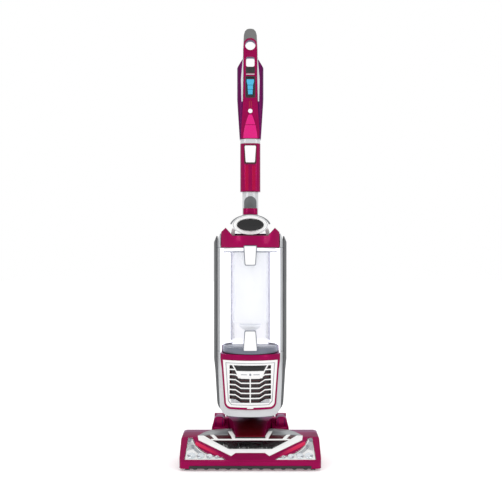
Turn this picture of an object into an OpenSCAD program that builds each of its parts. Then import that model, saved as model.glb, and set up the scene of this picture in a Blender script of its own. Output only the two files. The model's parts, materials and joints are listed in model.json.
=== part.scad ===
// Upright vacuum cleaner: powered floor nozzle, swivelling neck, bagless pod, wand and hose.
// Millimetres. X to the right, the front faces -Y, +Z up, the floor is z = 0.

/* [Floor nozzle] */
// Width across the floor nozzle
nozzle_w = 356; // [300:1:430]
// Depth of the nozzle box, front lip to rear wall
nozzle_d = 170; // [160:1:190]
// Height of the nozzle's flat top
nozzle_h = 78; // [74:1:94]
// Wall of the nozzle shells
nozzle_wall = 3; // [2:0.5:4]
// Slope of the sloping nose from the floor
nose_angle = 30; // [27:1:32]
// Radius of the brush at its bristle tips
brush_r = 22; // [18:0.5:23]
// Length of the brush core
brush_len = 292; // [240:1:300]
// Radius of the rear wheels
wheel_r = 25; // [20:1:27]
// Width of a rear wheel
wheel_w = 22; // [14:1:26]
// Radius of the front rollers
roller_r = 7.5; // [6:0.5:9]

/* [Neck] */
// Height of the recline pivot above the floor
pivot_z = 80; // [76:1:90]
// Distance of the recline pivot behind the middle of the cleaner
pivot_y = 85; // [80:1:92]
// Radius of the pivot barrel
barrel_r = 22; // [18:1:24]
// Radius of a pivot pin
pin_r = 8; // [6:0.5:10]
// Running clearance on the radius of a pin or a shaft
run_gap = 0.06; // [0.02:0.01:0.1]

/* [Pod] */
// Width over the side panels
pod_w = 190; // [184:1:210]
// Height of the motor base
base_h = 142; // [134:1:175]
// Height of the dust cup, door to lid
cup_h = 275; // [225:1:335]
// Outer radius of the dust cup
cup_r = 73; // [60:1:73]
// Wall of the clear dust cup
cup_wall = 2.5; // [1.5:0.5:4]
// Radius of the cyclone shroud
shroud_r = 50; // [40:1:60]
// Radius of the suction motor's case
motor_r = 36; // [29:1:36]
// Thickness of the exhaust filter
filter_t = 12; // [8:1:12.5]

/* [Wand and handle] */
// Width of the wand tube
wand_w = 44; // [40:1:46]
// Depth of the wand tube
wand_d = 40; // [36:1:40]
// Length of bare wand between the pod and the collar
wand_len = 63; // [40:1:140]
// Height of the collar with the release button
collar_h = 131; // [110:1:160]
// Height of the handle above its silver ring
handle_h = 299; // [280:1:350]
// Radius of the hanging hole
hang_r = 14; // [9:0.5:14]
// Outer radius of the suction hose
hose_r = 17.5; // [14:0.5:18]
// Radius of the mains lead that the gland takes
lead_r = 4; // [3:0.5:5]

/* [Hidden] */
$fn = 64;
cut = 1; // how far a cutting shape runs past a face
gap = 0.4; // between pieces that don't slide on each other
half = 700; // longer than anything it cuts

// Nozzle levels and places
half_w = nozzle_w / 2;
front_y = -148;
rear_y = front_y + nozzle_d;
sole_z = 6; // underside of the sole plate
sole_t = 3;
seam_z = 24; // where the cover sits on the base
nose_y = front_y + 4; // lower edge of the slope
nose_z = seam_z + 2;
nose_len = (nozzle_h - 8 - nose_z) / sin(nose_angle);
side_step = [12, 14]; // rounding of the nozzle's ends: plan and top
brush_y = nose_y + 54;
brush_z = brush_r + 2;
core_r = brush_r - 7;
shaft_r = 4;
chamber_x = brush_len / 2 + 3;
pulley_r = brush_z - sole_z - sole_t - 3;
pulley_x = -chamber_x - 12;
pulley_w = 10;
motor_y = -30;
motor_z = 36;
brush_motor_r = 19;
pinion_r = 6;
belt_t = 1.5;
duct_w = 66;
duct_z = [14, 54];
roller_x = half_w - 20;
roller_y = front_y + 16;
roller_w = 12;
roller_pin_r = 2;

// Hood: half-widths at its front, over the rear wall and at its back
hood_x = [37, 46, 58];
hood_y = [-76, 8, 34];

// Carriage and wheels
tower_x = [69, 98];
tower_r = 25;
arm_z = [12, 58];
wheel_x = tower_x[1] + 3;
wheel_y = pivot_y + 27;
axle_r = 6;
barrel_half = tower_x[0] - 3;
riser_r = 19;
riser_bore = 15;
collar_foot_z = pivot_z + barrel_r + 4;
riser_top = collar_foot_z + 44;

// Pod levels
u_z = 122;
base_z = u_z + 19;
cup_z = base_z + base_h + 1;
cup_top = cup_z + cup_h;
lid_z = cup_top + 1;
notch_z = lid_z + 31;
horn_z = notch_z + 20;
rail_top = lid_z + 37;
badge_z = lid_z + 58;
rail_x = [78, pod_w / 2 - 7];
arc_y = 30; // centre of the front arcs
arc_r = 110; // front arc of the base housing
frame_arc = 106;
taper_z = base_z + base_h - 14; // where the pod starts to narrow towards its foot
foot_x = [68, 80]; // half-widths of the base and of the U frame near the foot
foot_r = [16, 26]; // their lower corners
panel_t = pod_w / 2 - rail_x[1]; // thickness of a side panel
cup_y = -7;
catch_y = -max(cup_r - cup_y, arc_r - arc_y); // front of the cup and the lid, behind the catches
back_y = [20, 56];
motor_c = -20; // centre of the suction motor
grille_r = [arc_r + gap, arc_r + 4.4];
grille_z = [base_z + 7, base_z + base_h - 15];
grille_x = [63, 71]; // half-widths at the bottom and the top
door_t = 15;
cup_lid_t = 8;

// Wand and handle levels
foot_z = lid_z + 90;
foot_h = 17;
tube_z = foot_z + foot_h;
collar_z = foot_z + wand_len;
ring_z = collar_z + collar_h;
ring_h = 13;
grip_z = ring_z + ring_h;
top_z = grip_z + handle_h;
grip_y = [62, 108];
face_y = 58;
top_y = 84; // back of the handle's thin top
switch_z = top_z - 158;
window_z = top_z - 90;
hang_z = top_z - 44;
hump_z = top_z - 172;
hose_y = 150 - 21;
elbow_r = 21;
cuff_z = top_z - 288;
inlet_x = 60;
inlet_y = 111;
inlet_z = base_z + 87;
hook_x = -50;
hook_arm = 30;
upper_hook_z = cup_top - 20;
lower_hook_z = base_z + 40;
gland_x = -38;
gland_z = base_z + 16;

// The hose's route, straight down behind the wand and then aside into the pod's inlet
hose_route = [
    [0, 129, 895], [0, 129, 850], [0, 129, 800], [0, 129, 750], [0, 129, 700], [2, 129, 655],
    [8, 127, 610], [18, 125, 565], [30, 122, 520], [42, 118, 475], [52, 114, 430],
    [58, 112, 385], [60, 111, 340], [60, 111, 300], [60, 111, 262]
];
hose_steps = 3;
hose_sides = 12;

// ---- Plain shapes ----

// A rectangle with round corners, centred
module round_rect(w, d, r) {
    square([w - 2 * r, d], center = true);
    square([w, d - 2 * r], center = true);
    for (x = [-1, 1], y = [-1, 1])
        translate([x * (w / 2 - r), y * (d / 2 - r)]) circle(r = r);
}

// An ellipse as a polygon that a formula gives
module ellipse(a, b) {
    polygon([for (i = [0 : 47]) [a * cos(i * 7.5), b * sin(i * 7.5)]]);
}

// Extrudes an outline drawn in X and Z from y0 back to y1
module front_extrude(y0, y1) {
    translate([0, y1, 0]) rotate([90, 0, 0]) linear_extrude(y1 - y0) children();
}

// Extrudes an outline drawn in Y and Z from x0 to x1
module side_extrude(x0, x1) {
    translate([x0, 0, 0]) rotate([90, 0, 90]) linear_extrude(x1 - x0) children();
}

// A rod along X
module x_rod(r, x0, x1, y, z) {
    translate([x0, y, z]) rotate([0, 90, 0]) cylinder(r = r, h = x1 - x0);
}

// A rod along Y
module y_rod(r, y0, y1, x, z) {
    translate([x, y1, z]) rotate([90, 0, 0]) cylinder(r = r, h = y1 - y0);
}

// A bent plate that follows the pod's front arc
module arc_slab(r, half_x, z0, z1) {
    translate([0, arc_y, z0]) linear_extrude(z1 - z0) intersection() {
        difference() {
            circle(r = r[1], $fn = 128);
            circle(r = r[0], $fn = 128);
        }
        translate([-half_x, -r[1] - cut]) square([2 * half_x, r[1]]);
    }
}

// A plan outline with the front arc, straight sides and a straight back
module arc_plan(r, half_x, back) {
    intersection() {
        translate([0, arc_y]) circle(r = r, $fn = 128);
        translate([-half_x, arc_y - r - cut]) square([2 * half_x, back - arc_y + r + cut]);
    }
}

// Mirrors its children to the other side
module both_sides() {
    children();
    mirror([1, 0, 0]) children();
}

// ---- Floor nozzle ----

// Points of the nozzle's side outline, drawn in by t
function nose_outline(t) = [
    [front_y + t, sole_z],
    [front_y + t, seam_z - 1],
    [nose_y + t * 1.2, nose_z - t * 0.6],
    [nose_y + nose_len * cos(nose_angle) + t * 0.3, nozzle_h - 8 - t],
    [nose_y + nose_len * cos(nose_angle) + 25, nozzle_h - 1 - t],
    [rear_y - 35, nozzle_h - t],
    [rear_y - 10 - t * 0.6, nozzle_h - 8 - t],
    [rear_y - t, nozzle_h - 28 - t * 0.5],
    [rear_y - t, sole_z]
];

// The nozzle's outer form, drawn in by t
module nozzle_form(t) {
    intersection() {
        side_extrude(-half_w, half_w) polygon(nose_outline(t));
        linear_extrude(2 * nozzle_h) translate([0, (front_y + rear_y) / 2])
            round_rect(nozzle_w - 2 * t, nozzle_d - 2 * t, side_step[0]);
        front_extrude(-half, half) {
            translate([0, nozzle_h / 2]) round_rect(nozzle_w - 2 * t, nozzle_h - 2 * t, side_step[1]);
            translate([-half_w + t, 0]) square([nozzle_w - 2 * t, nozzle_h / 2]);
        }
    }
}

// Lays its children on the slope: local Y runs up the slope, local Z is its normal
module on_nose() {
    translate([0, nose_y, nose_z]) rotate([nose_angle, 0, 0]) children();
}

module nozzle_base() color("#6d0035") {
    difference() {
        intersection() {
            nozzle_form(0);
            translate([-half, -half, 0]) cube([2 * half, 2 * half, seam_z - 0.2]);
        }
        translate([0, 0, sole_t]) nozzle_form(nozzle_wall);
        // mouth under the brush and behind it
        translate([-chamber_x + 1, brush_y - brush_r - 1, 0])
            cube([2 * chamber_x - 2, 2 * brush_r + 14, seam_z]);
        both_sides() translate([roller_x - roller_w / 2 - 1.5, roller_y - roller_r - 1.5, 0])
            cube([roller_w + 3, 2 * roller_r + 3, seam_z - 4]);
        // the duct leaves through the rear wall
        translate([-duct_w / 2 - gap, rear_y - 10, duct_z[0] - gap]) cube([duct_w + 2 * gap, 20, 60]);
        screw_places() cylinder(r = 3.4, h = 20, center = true);
        both_sides() x_rod(roller_pin_r, roller_x - roller_w, roller_x + roller_w, roller_y, roller_r);
        both_sides() on_nose() translate([0, 0, -nozzle_wall - 2]) linear_extrude(20) lens_outline(gap);
    }
    // ears that hold the rollers' pins
    both_sides() for (x = [-1, 1]) difference() {
        translate([roller_x + x * (roller_w / 2 + 2.2) - 1, roller_y - 5, sole_z + 1])
            cube([2, 10, 9]);
        x_rod(roller_pin_r, roller_x - 20, roller_x + 20, roller_y, roller_r);
    }
}

// Pockets in the slope, and the pieces that fill them
module window_outline(t) {
    polygon([[-49 - 2 * t, 38 - t], [49 + 2 * t, 38 - t], [98 + 2 * t, 73 + t], [-98 - 2 * t, 73 + t]]);
}

module lens_outline(t) {
    intersection() {
        difference() {
            polygon([
                [-half_w + 13 - t, 3 - t], [-half_w + 18 - t, nose_len - 4 + t],
                [-half_w + 31 + t, nose_len - 4 + t], [-half_w + 116 + 3 * t, 3 - t]
            ]);
            translate([-half_w + 116, 100]) circle(r = 88 - t, $fn = 96);
        }
        translate([-half_w, -10]) square([half_w - 5, 200]);
    }
}

module nozzle_cover() color("#8a0045") {
    difference() {
        intersection() {
            nozzle_form(0);
            translate([-half, -half, seam_z]) cube([2 * half, 2 * half, half]);
        }
        difference() {
            nozzle_form(nozzle_wall);
            translate([-half, -half, 0]) cube([2 * half, 2 * half, seam_z - 1]);
        }
        on_nose() translate([0, 0, -20]) linear_extrude(40) window_outline(gap);
        both_sides() on_nose() translate([0, 0, -20]) linear_extrude(40) lens_outline(gap);
        translate([-duct_w / 2 - gap, rear_y - 10, 0]) cube([duct_w + 2 * gap, 20, duct_z[1] + gap]);
    }
}

module trim_frame() color("#c9cdd2") {
    outer = [[-48, 15], [-37, 25], [37, 25], [48, 15], [134, nose_len - 2], [122, nose_len - 2],
        [50, 30], [42, 36], [-42, 36], [-50, 30], [-122, nose_len - 2], [-134, nose_len - 2]];
    on_nose() linear_extrude(2.5) polygon(outer);
}

module brush_window() color("#17141a") {
    on_nose() translate([0, 0, -nozzle_wall]) linear_extrude(nozzle_wall) window_outline(0);
}

module headlight() {
    on_nose() translate([0, 0, -nozzle_wall]) linear_extrude(nozzle_wall + 1) lens_outline(0);
}

module headlight_left() color("#dfe6ea") headlight();
module headlight_right() color("#dfe6ea") mirror([1, 0, 0]) headlight();

module reflectors() color("#e8ecef") {
    both_sides() on_nose() difference() {
        translate([-half_w + 22, 8, -10]) cube([84, 20, 6.5]);
        for (i = [0 : 3]) translate([-half_w + 32 + i * 21, 18, -3.5]) sphere(r = 6);
    }
}

module bumper_strip() color("#2a2427") {
    side = nozzle_w - 2 * side_step[0] - 6;
    translate([-side / 2, front_y - 2, sole_z]) cube([side, 1.8, 5]);
    count = floor(side / 27.6);
    for (i = [0 : count])
        translate([(i - count / 2) * 27.6 - 5, front_y - 2, sole_z + 5]) cube([10, 1.8, 5]);
}

module brush_chamber() color("#2b2b2e") {
    liner = [brush_r + 1.4, brush_r + 3];
    difference() {
        x_rod(liner[1], -chamber_x + 2, chamber_x - 2, brush_y, brush_z);
        x_rod(liner[0], -half, half, brush_y, brush_z);
        translate([-half, brush_y - 40, -20]) cube([2 * half, 80, brush_z + 14]);
        translate([-98, brush_y - 22, brush_z]) cube([196, 34, 40]);
        translate([-duct_w / 2 + 2, brush_y, 0]) cube([duct_w - 4, 60, brush_z + 18]);
    }
    // bearing blocks outboard of the core and of the pulley
    for (x = [chamber_x - 1, pulley_x - pulley_w / 2 - 8]) difference() {
        translate([x, brush_y - 10, sole_z + sole_t + 0.2]) cube([7, 20, brush_z + 1]);
        x_rod(shaft_r + run_gap, x - cut, x + 8, brush_y, brush_z);
    }
}

module brush_motor() color("#3a3c40") {
    x_rod(brush_motor_r, -136, -70, motor_y, motor_z);
    x_rod(3, -142, -136, motor_y, motor_z);
    translate([-128, motor_y - 12, sole_z + sole_t]) cube([50, 24, 9]);
}

module motor_pinion() color("#b8a060") {
    x_rod(pinion_r, pulley_x - pulley_w / 2, pulley_x + pulley_w / 2, motor_y, motor_z);
    x_rod(3, pulley_x + pulley_w / 2 - cut, -142.2, motor_y, motor_z);
}

module belt_outline(t) {
    hull() {
        translate([brush_y, brush_z]) circle(r = pulley_r + gap + t, $fn = 48);
        translate([motor_y, motor_z]) circle(r = pinion_r + gap + t, $fn = 32);
    }
}

module drive_belt() color("#202022") {
    side_extrude(pulley_x - pulley_w / 2 + 1, pulley_x + pulley_w / 2 - 1) difference() {
        belt_outline(belt_t);
        belt_outline(0);
    }
}

module intake_duct() color("#2f2f33") {
    length = pivot_y - 8 - brush_y - brush_r - 4;
    difference() {
        translate([-duct_w / 2, brush_y + brush_r + 4, duct_z[0]])
            cube([duct_w, length, duct_z[1] - duct_z[0]]);
        translate([-duct_w / 2 + 2, 0, duct_z[0] + 2])
            cube([duct_w - 4, half, duct_z[1] - duct_z[0] - 4]);
        translate([-duct_w / 2 + 2, -half, duct_z[0] + 2])
            cube([duct_w - 4, half + cut, duct_z[1] - duct_z[0] - 4]);
        x_rod(barrel_r + 1, -half, half, pivot_y, pivot_z);
    }
}

module hood_plan(t) {
    polygon([
        [-hood_x[0] + t, hood_y[0] + t], [hood_x[0] - t, hood_y[0] + t], [hood_x[1] - t, hood_y[1]],
        [hood_x[2] - t, hood_y[2]], [hood_x[2] - t, 60], [-hood_x[2] + t, 60], [-hood_x[2] + t, hood_y[2]],
        [-hood_x[1] + t, hood_y[1]]
    ]);
}

module neck_hood() color("#4d0a2c") {
    outer = [[hood_y[0], 60], [hood_y[0], 74], [-20, 89], [30, 100], [52, 100], [58, 60]];
    inner = [[hood_y[0] + 12, 60], [hood_y[0] + 12, 72], [-18, 85], [30, 96], [60, 96], [60, 60]];
    difference() {
        intersection() {
            side_extrude(-half, half) polygon(outer);
            linear_extrude(200) hood_plan(0);
        }
        intersection() {
            side_extrude(-half, half) polygon(inner);
            linear_extrude(200) hood_plan(3);
        }
        nozzle_form(-0.2);
        x_rod(barrel_r + 1, -half, half, pivot_y, pivot_z);
    }
}

module rear_carriage() color("#7a003c") {
    difference() {
        union() {
            both_sides() {
                side_extrude(tower_x[0], tower_x[1]) polygon([
                    [rear_y + gap, arm_z[0]], [rear_y + gap, nozzle_h - 4], [rear_y + 22, pivot_z + 16],
                    [pivot_y - 20, pivot_z + 18], [pivot_y + 22, pivot_z + 8],
                    [wheel_y + 12, wheel_r + 4], [wheel_y + 8, arm_z[0]]
                ]);
                x_rod(tower_r, tower_x[0], tower_x[1], pivot_y, pivot_z);
                // deck between the hood and the tower
                side_extrude(hood_x[2] + 0.5, tower_x[0] + cut) polygon([
                    [rear_y + gap, 44], [rear_y + gap, nozzle_h - 4], [rear_y + 22, pivot_z + 16],
                    [pivot_y - barrel_r - 5, pivot_z + 20], [pivot_y - barrel_r - 3, pivot_z + 4],
                    [pivot_y - barrel_r - 12, 44]
                ]);
            }
            translate([-tower_x[0] - cut, rear_y + gap, 4])
                cube([2 * tower_x[0] + 2 * cut, wheel_y - rear_y - 10, 6]);
            both_sides() translate([tower_x[0], rear_y + gap, 4])
                cube([tower_x[1] - tower_x[0], wheel_y - rear_y - 20, arm_z[0] - 4 + cut]);
        }
        x_rod(pin_r + run_gap, -half, half, pivot_y, pivot_z);
        x_rod(axle_r, -half, half, wheel_y, wheel_r);
    }
}

module axle_pins() color("#9fa3a8") {
    both_sides() {
        x_rod(axle_r, tower_x[0] + 6, wheel_x + wheel_w + 1, wheel_y, wheel_r);
        x_rod(axle_r + 3, wheel_x + wheel_w + 0.5, wheel_x + wheel_w + 3, wheel_y, wheel_r);
        x_rod(roller_pin_r, roller_x - roller_w / 2 - 3, roller_x + roller_w / 2 + 3, roller_y, roller_r);
    }
}

module screw_places() {
    for (p = [[-150, -30], [150, -30], [-60, -50], [60, -50]]) translate([p[0], p[1], sole_z]) children();
}

module sole_screws() color("#a9adb2") {
    screw_places() {
        difference() {
            cylinder(r = 3.2, h = sole_t);
            translate([-2.5, -0.5, -cut]) cube([5, 1, 1.6]);
        }
        translate([0, 0, sole_t]) cylinder(r = 1.6, h = 8);
    }
}

module brush_roll() color("#404247") {
    x_rod(core_r, -brush_len / 2, brush_len / 2, brush_y, brush_z);
    x_rod(shaft_r, pulley_x - pulley_w / 2 - 7, chamber_x + 5, brush_y, brush_z);
    x_rod(pulley_r, pulley_x - pulley_w / 2 + 0.5, pulley_x + pulley_w / 2 - 0.5, brush_y, brush_z);
}

module bristles() color("#1b1b1d") {
    translate([0, brush_y, brush_z]) for (a = [45 : 90 : 315]) rotate([a, 0, 0])
        translate([-brush_len / 2 + 4, -1.5, core_r - 1]) cube([brush_len - 8, 3, brush_r - core_r + 0.9]);
}

module wheel() {
    difference() {
        x_rod(wheel_r, wheel_x, wheel_x + wheel_w, wheel_y, wheel_r);
        x_rod(axle_r + run_gap, wheel_x - cut, wheel_x + wheel_w + cut, wheel_y, wheel_r);
        x_rod(wheel_r - 7, wheel_x + wheel_w - 4, wheel_x + wheel_w + cut, wheel_y, wheel_r);
    }
    difference() {
        x_rod(axle_r + 5, wheel_x + wheel_w - 5, wheel_x + wheel_w, wheel_y, wheel_r);
        x_rod(axle_r + run_gap, wheel_x - cut, wheel_x + wheel_w + cut, wheel_y, wheel_r);
    }
}

module wheel_left() color("#2a2a2c") mirror([1, 0, 0]) wheel();
module wheel_right() color("#2a2a2c") wheel();

module roller() {
    difference() {
        x_rod(roller_r, roller_x - roller_w / 2, roller_x + roller_w / 2, roller_y, roller_r);
        x_rod(roller_pin_r + run_gap, roller_x - roller_w, roller_x + roller_w, roller_y, roller_r);
    }
}

module roller_left() color("#333336") mirror([1, 0, 0]) roller();
module roller_right() color("#333336") roller();

// ---- Neck ----

module pivot_barrel() color("#55565b") {
    difference() {
        union() {
            x_rod(barrel_r, -barrel_half, barrel_half, pivot_y, pivot_z);
            translate([0, pivot_y, pivot_z]) cylinder(r = riser_r, h = riser_top - pivot_z);
        }
        x_rod(barrel_r - 4, -barrel_half + 6, barrel_half - 6, pivot_y, pivot_z);
        translate([0, pivot_y, pivot_z]) cylinder(r = riser_bore, h = half);
        translate([-duct_w / 2 + 4, pivot_y - barrel_r - 2, pivot_z - 22])
            cube([duct_w - 8, barrel_r, 16]);
    }
    both_sides() x_rod(pin_r, barrel_half - cut, tower_x[1] - 3, pivot_y, pivot_z);
}

// ---- Pod ----

module wand_outline(t) {
    round_rect(wand_w - 2 * t, wand_d - 2 * t, wand_d / 2 - t - 2);
}

module spine_tube() color("#c8ccd1") {
    translate([0, pivot_y, 0]) {
        difference() {
            translate([0, 0, riser_top]) linear_extrude(foot_z - riser_top) wand_outline(0);
            translate([0, 0, riser_top - cut]) linear_extrude(foot_z) wand_outline(3);
        }
        // socket that turns on the neck's riser
        difference() {
            translate([0, 0, collar_foot_z]) cylinder(r = 26, h = riser_top - collar_foot_z + 3);
            translate([0, 0, collar_foot_z - cut]) cylinder(r = riser_r + run_gap, h = riser_top - collar_foot_z + cut + gap);
            cylinder(r = riser_bore, h = half);
        }
        // brackets that the pod hangs on
        for (z = [base_z + 40, cup_top - 60])
            translate([-14, -pivot_y + back_y[1], z])
                cube([28, pivot_y - wand_d / 2 - back_y[1] + 1, 24]);
    }
}

// The pod's front outline: wide above, drawn in towards a foot with round corners
module foot_outline(wide, narrow, r, z) {
    right = concat(
        [for (a = [-90 : 15 : 0]) [narrow - r + r * cos(a), z + r + r * sin(a)]],
        [[narrow + 0.6 * (wide - narrow), taper_z - 30], [wide, taper_z]]
    );
    last = len(right) - 1;
    top = half * 1.5;
    polygon(concat(right, [[wide, top], [-wide, top]], [for (i = [last : -1 : 0]) [-right[i][0], right[i][1]]]));
}

module rail_top_outline(t) {
    chamfer = [9, 23];
    polygon([
        [-rail_x[1] - t, u_z - 1], [rail_x[1] + t, u_z - 1], [rail_x[1] + t, rail_top - chamfer[1]],
        [rail_x[1] - chamfer[0] + t, rail_top], [-rail_x[1] + chamfer[0] - t, rail_top],
        [-rail_x[1] - t, rail_top - chamfer[1]]
    ]);
}

module u_outline() {
    difference() {
        intersection() {
            foot_outline(rail_x[1], foot_x[1], foot_r[1], u_z);
            rail_top_outline(0);
        }
        foot_outline(rail_x[0], foot_x[0], foot_r[0], base_z);
    }
}

module u_frame() color("#d4d7da") {
    intersection() {
        front_extrude(-100, back_y[0]) u_outline();
        linear_extrude(half * 2) arc_plan(frame_arc, rail_x[1], back_y[0]);
    }
}

module side_panel() {
    front_extrude(-34, 48) intersection() {
        difference() {
            foot_outline(pod_w / 2, foot_x[1] + panel_t, foot_r[1] + panel_t - 1, u_z + 4);
            foot_outline(rail_x[1] + 0.2, foot_x[1] + 0.2, foot_r[1], u_z);
        }
        rail_top_outline(panel_t);
        translate([foot_x[1] - 12, u_z + 5]) square([60, rail_top - u_z - 12]);
    }
}

module side_panel_left() color("#4b4d52") mirror([1, 0, 0]) side_panel();
module side_panel_right() color("#4b4d52") side_panel();

module back_shell() color("#5a0a35") {
    depth = back_y[1] - back_y[0] - gap;
    difference() {
        intersection() {
            front_extrude(back_y[0] + gap, back_y[0] + gap + depth) intersection() {
                foot_outline(rail_x[1], foot_x[1], foot_r[1], u_z);
                rail_top_outline(0);
            }
            linear_extrude(2 * half) translate([0, back_y[1] - 60]) round_rect(2 * rail_x[1], 120, 24);
        }
        // the cup's bay
        difference() {
            translate([0, cup_y, cup_z - 1]) cylinder(r = cup_r + 1.5, h = cup_h + 2);
            translate([-half, back_y[1] - 7, 0]) cube(2 * half);
        }
        // hollow above and below the bay
        for (z = [[u_z + 4, cup_z - 5], [cup_top + 5, rail_top - 8]])
            translate([-foot_x[0] + 2, back_y[0] + 4, z[0]])
                cube([2 * foot_x[0] - 4, depth - 8, z[1] - z[0]]);
        y_rod(elbow_r - 5, 40, 70, inlet_x, inlet_z);
        y_rod(lead_r + 3, 40, 70, gland_x, gland_z);
    }
}

module base_housing() color("#8a0045") {
    difference() {
        intersection() {
            translate([0, 0, base_z + 0.2]) linear_extrude(base_h - 0.4)
                arc_plan(arc_r, rail_x[0] - gap, back_y[0]);
            front_extrude(-half, half) foot_outline(rail_x[0] - gap, foot_x[0] - gap, foot_r[0], base_z + gap);
        }
        translate([0, motor_c, base_z + 4]) cylinder(r = motor_r + 0.8, h = base_h - 26);
        translate([0, motor_c, base_z + base_h - 20]) cylinder(r = motor_r + 2, h = 15);
        translate([0, motor_c, base_z - cut]) cylinder(r = motor_r - 12, h = half);
        arc_slab([arc_r - 5 - filter_t - gap, arc_r + cut], grille_x[0] - 7, grille_z[0] + 4, grille_z[1] - 8);
    }
}

module motor_case() color("#8d9094") {
    translate([0, motor_c, base_z + 5]) difference() {
        cylinder(r = motor_r, h = base_h - 30);
        translate([0, 0, 3]) cylinder(r = motor_r - 2.5, h = base_h - 36);
        translate([0, 0, -cut]) cylinder(r = 3 + run_gap, h = 8);
        translate([0, 0, base_h - 36]) cylinder(r = 16, h = 20);
    }
}

module fan_rotor() color("#b9bcc0") {
    translate([0, motor_c, base_z + 5.5]) {
        cylinder(r = 3, h = base_h - 38);
        translate([0, 0, 12]) cylinder(r = 18, h = 44);
        translate([0, 0, 64]) cylinder(r = motor_r - 5, h = 2);
        translate([0, 0, 62]) cylinder(r = 8, h = 18);
        for (a = [22.5 : 45 : 337.5]) rotate([0, 0, a])
            translate([7, -0.75, 65]) cube([motor_r - 14, 1.5, 12]);
    }
}

module hepa_filter() color("#e9e7df") {
    arc_slab([arc_r - 5 - filter_t, arc_r - 5], grille_x[0] - 8, grille_z[0] + 6, grille_z[1] - 10);
}

module pre_motor_foam() color("#9aa0a6") {
    translate([0, motor_c, base_z + base_h - 19.5]) cylinder(r = motor_r + 1.6, h = 14);
}

module grille_outline(t) {
    z = [grille_z[0] + t, grille_z[1] - t];
    r = foot_r[0] - 4;
    right = concat(
        [for (a = [-90 : 15 : 0]) [grille_x[0] - t - r + r * cos(a), z[0] + r + r * sin(a)]],
        [[grille_x[1] - t, z[1]]]
    );
    last = len(right) - 1;
    polygon(concat(right, [for (i = [last : -1 : 0]) [-right[i][0], right[i][1]]]));
}

module louvre_outline(w) {
    slot_h = 10;
    dip = [[w, 8.5], [38, 8.5], [24, 0]];
    polygon(concat(
        [for (p = dip) [-p[0], p[1]]], [for (i = [2 : -1 : 0]) dip[i]],
        [for (p = dip) [p[0], p[1] + slot_h]], [for (i = [2 : -1 : 0]) [-dip[i][0], dip[i][1] + slot_h]]
    ));
}

// The two plates above the louvres, drawn out by t
module plate_outline(t) {
    top = grille_z[1] - 12;
    polygon([[-44 - t, top], [44 + t, top], [35 + t, top - 15], [28 + t, top - 30 - t], [-28 - t, top - 30 - t],
        [-35 - t, top - 15]]);
}

module grille_cover() color("#e6e8ea") {
    pitch = 13;
    rows = floor((grille_z[1] - grille_z[0] - 22) / pitch);
    difference() {
        intersection() {
            arc_slab(grille_r, half, grille_z[0], grille_z[1]);
            front_extrude(-150, 0) grille_outline(0);
        }
        for (i = [0 : rows - 1]) difference() {
            front_extrude(-150, 0) difference() {
                translate([0, grille_z[0] + 12 + i * pitch]) louvre_outline(grille_x[0] - 9.5);
                plate_outline(3);
                translate([-half, grille_z[1] - 12]) square(2 * half);
            }
            translate([-1.5, -half, 0]) cube([3, half, 2 * half]);
        }
    }
    // hinge barrel along the bottom edge
    x_rod(2.4, -8, 8, arc_y - arc_r - 4, grille_z[0] - 1);
}

module lid_outline() {
    polygon([
        [-rail_x[0] + 2, lid_z], [rail_x[0] - 2, lid_z], [rail_x[0] - 2, notch_z + 9],
        [64, horn_z], [46, notch_z], [-46, notch_z], [-64, horn_z], [-rail_x[0] + 2, notch_z + 9]
    ]);
}

module lid_housing() color("#8a0045") {
    difference() {
        intersection() {
            front_extrude(-90, back_y[0]) lid_outline();
            linear_extrude(2 * half) arc_plan(arc_r, rail_x[0] - gap, back_y[0]);
        }
        translate([-60, -50, lid_z + 4]) cube([120, 60, 22]);
        // the horns are only a lip along the front
        translate([-half, -32, notch_z]) cube(2 * half);
    }
}

module grip_arch(a, b) {
    intersection() {
        translate([0, notch_z]) ellipse(a, b);
        translate([-60, notch_z]) square([120, 60]);
    }
}

module carry_handle() color("#d9dcdf") {
    // arched grip, with legs that run forward to the hub
    difference() {
        union() {
            front_extrude(0, 19) grip_arch(51, 54);
            intersection() {
                front_extrude(-24, 1) grip_arch(51, 54);
                translate([-half, -half, 0]) cube([2 * half, 2 * half, notch_z + 18]);
            }
        }
        front_extrude(-half, half) grip_arch(42, 44);
    }
    // hub behind the badge
    difference() {
        front_extrude(-70, -24 + 0.5) translate([0, badge_z]) ellipse(46, 25);
        translate([-half, -half, 0]) cube([2 * half, 2 * half, notch_z + 0.2]);
        front_extrude(-66, -28) translate([0, badge_z]) ellipse(43, 22);
    }
}

module badge() color("#141215") {
    front_extrude(-75, -70) translate([0, badge_z]) ellipse(34.5, 15.5);
}

// ---- Dust cup ----

module cup_form(t) {
    intersection() {
        translate([0, cup_y]) circle(r = cup_r - t, $fn = 128);
        translate([-half, -half]) square([2 * half, half + back_y[1] - 8 - t]);
    }
}

module dust_cup() color("#dfe9ef80") {
    translate([0, 0, cup_z + door_t + 0.2]) linear_extrude(cup_h - door_t - cup_lid_t - 0.4) difference() {
        cup_form(0);
        cup_form(cup_wall);
    }
}

module cup_door() color("#b9bec4") {
    translate([0, 0, cup_z]) linear_extrude(door_t) cup_form(0);
}

module cyclone_shroud() color("#c2c7cc") {
    // lid of the cup, with the shroud that hangs from it
    top = cup_top - cup_lid_t;
    translate([0, 0, top]) linear_extrude(cup_lid_t - 0.2) cup_form(0);
    difference() {
        translate([0, cup_y, top - 190 * cup_h / 275]) cylinder(r = shroud_r - 2, h = 190 * cup_h / 275);
        translate([0, cup_y, top - 190 * cup_h / 275 - cut]) cylinder(r = shroud_r - 5, h = 190 * cup_h / 275 - 4);
    }
}

// A catch on the cup's front, drawn between two levels and two half-widths
module cup_catch(z, w) {
    front_extrude(catch_y - 6, catch_y - 0.6) polygon([
        [-w[0], z[0]], [w[0], z[0]], [w[1], z[1]], [-w[1], z[1]]
    ]);
}

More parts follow.
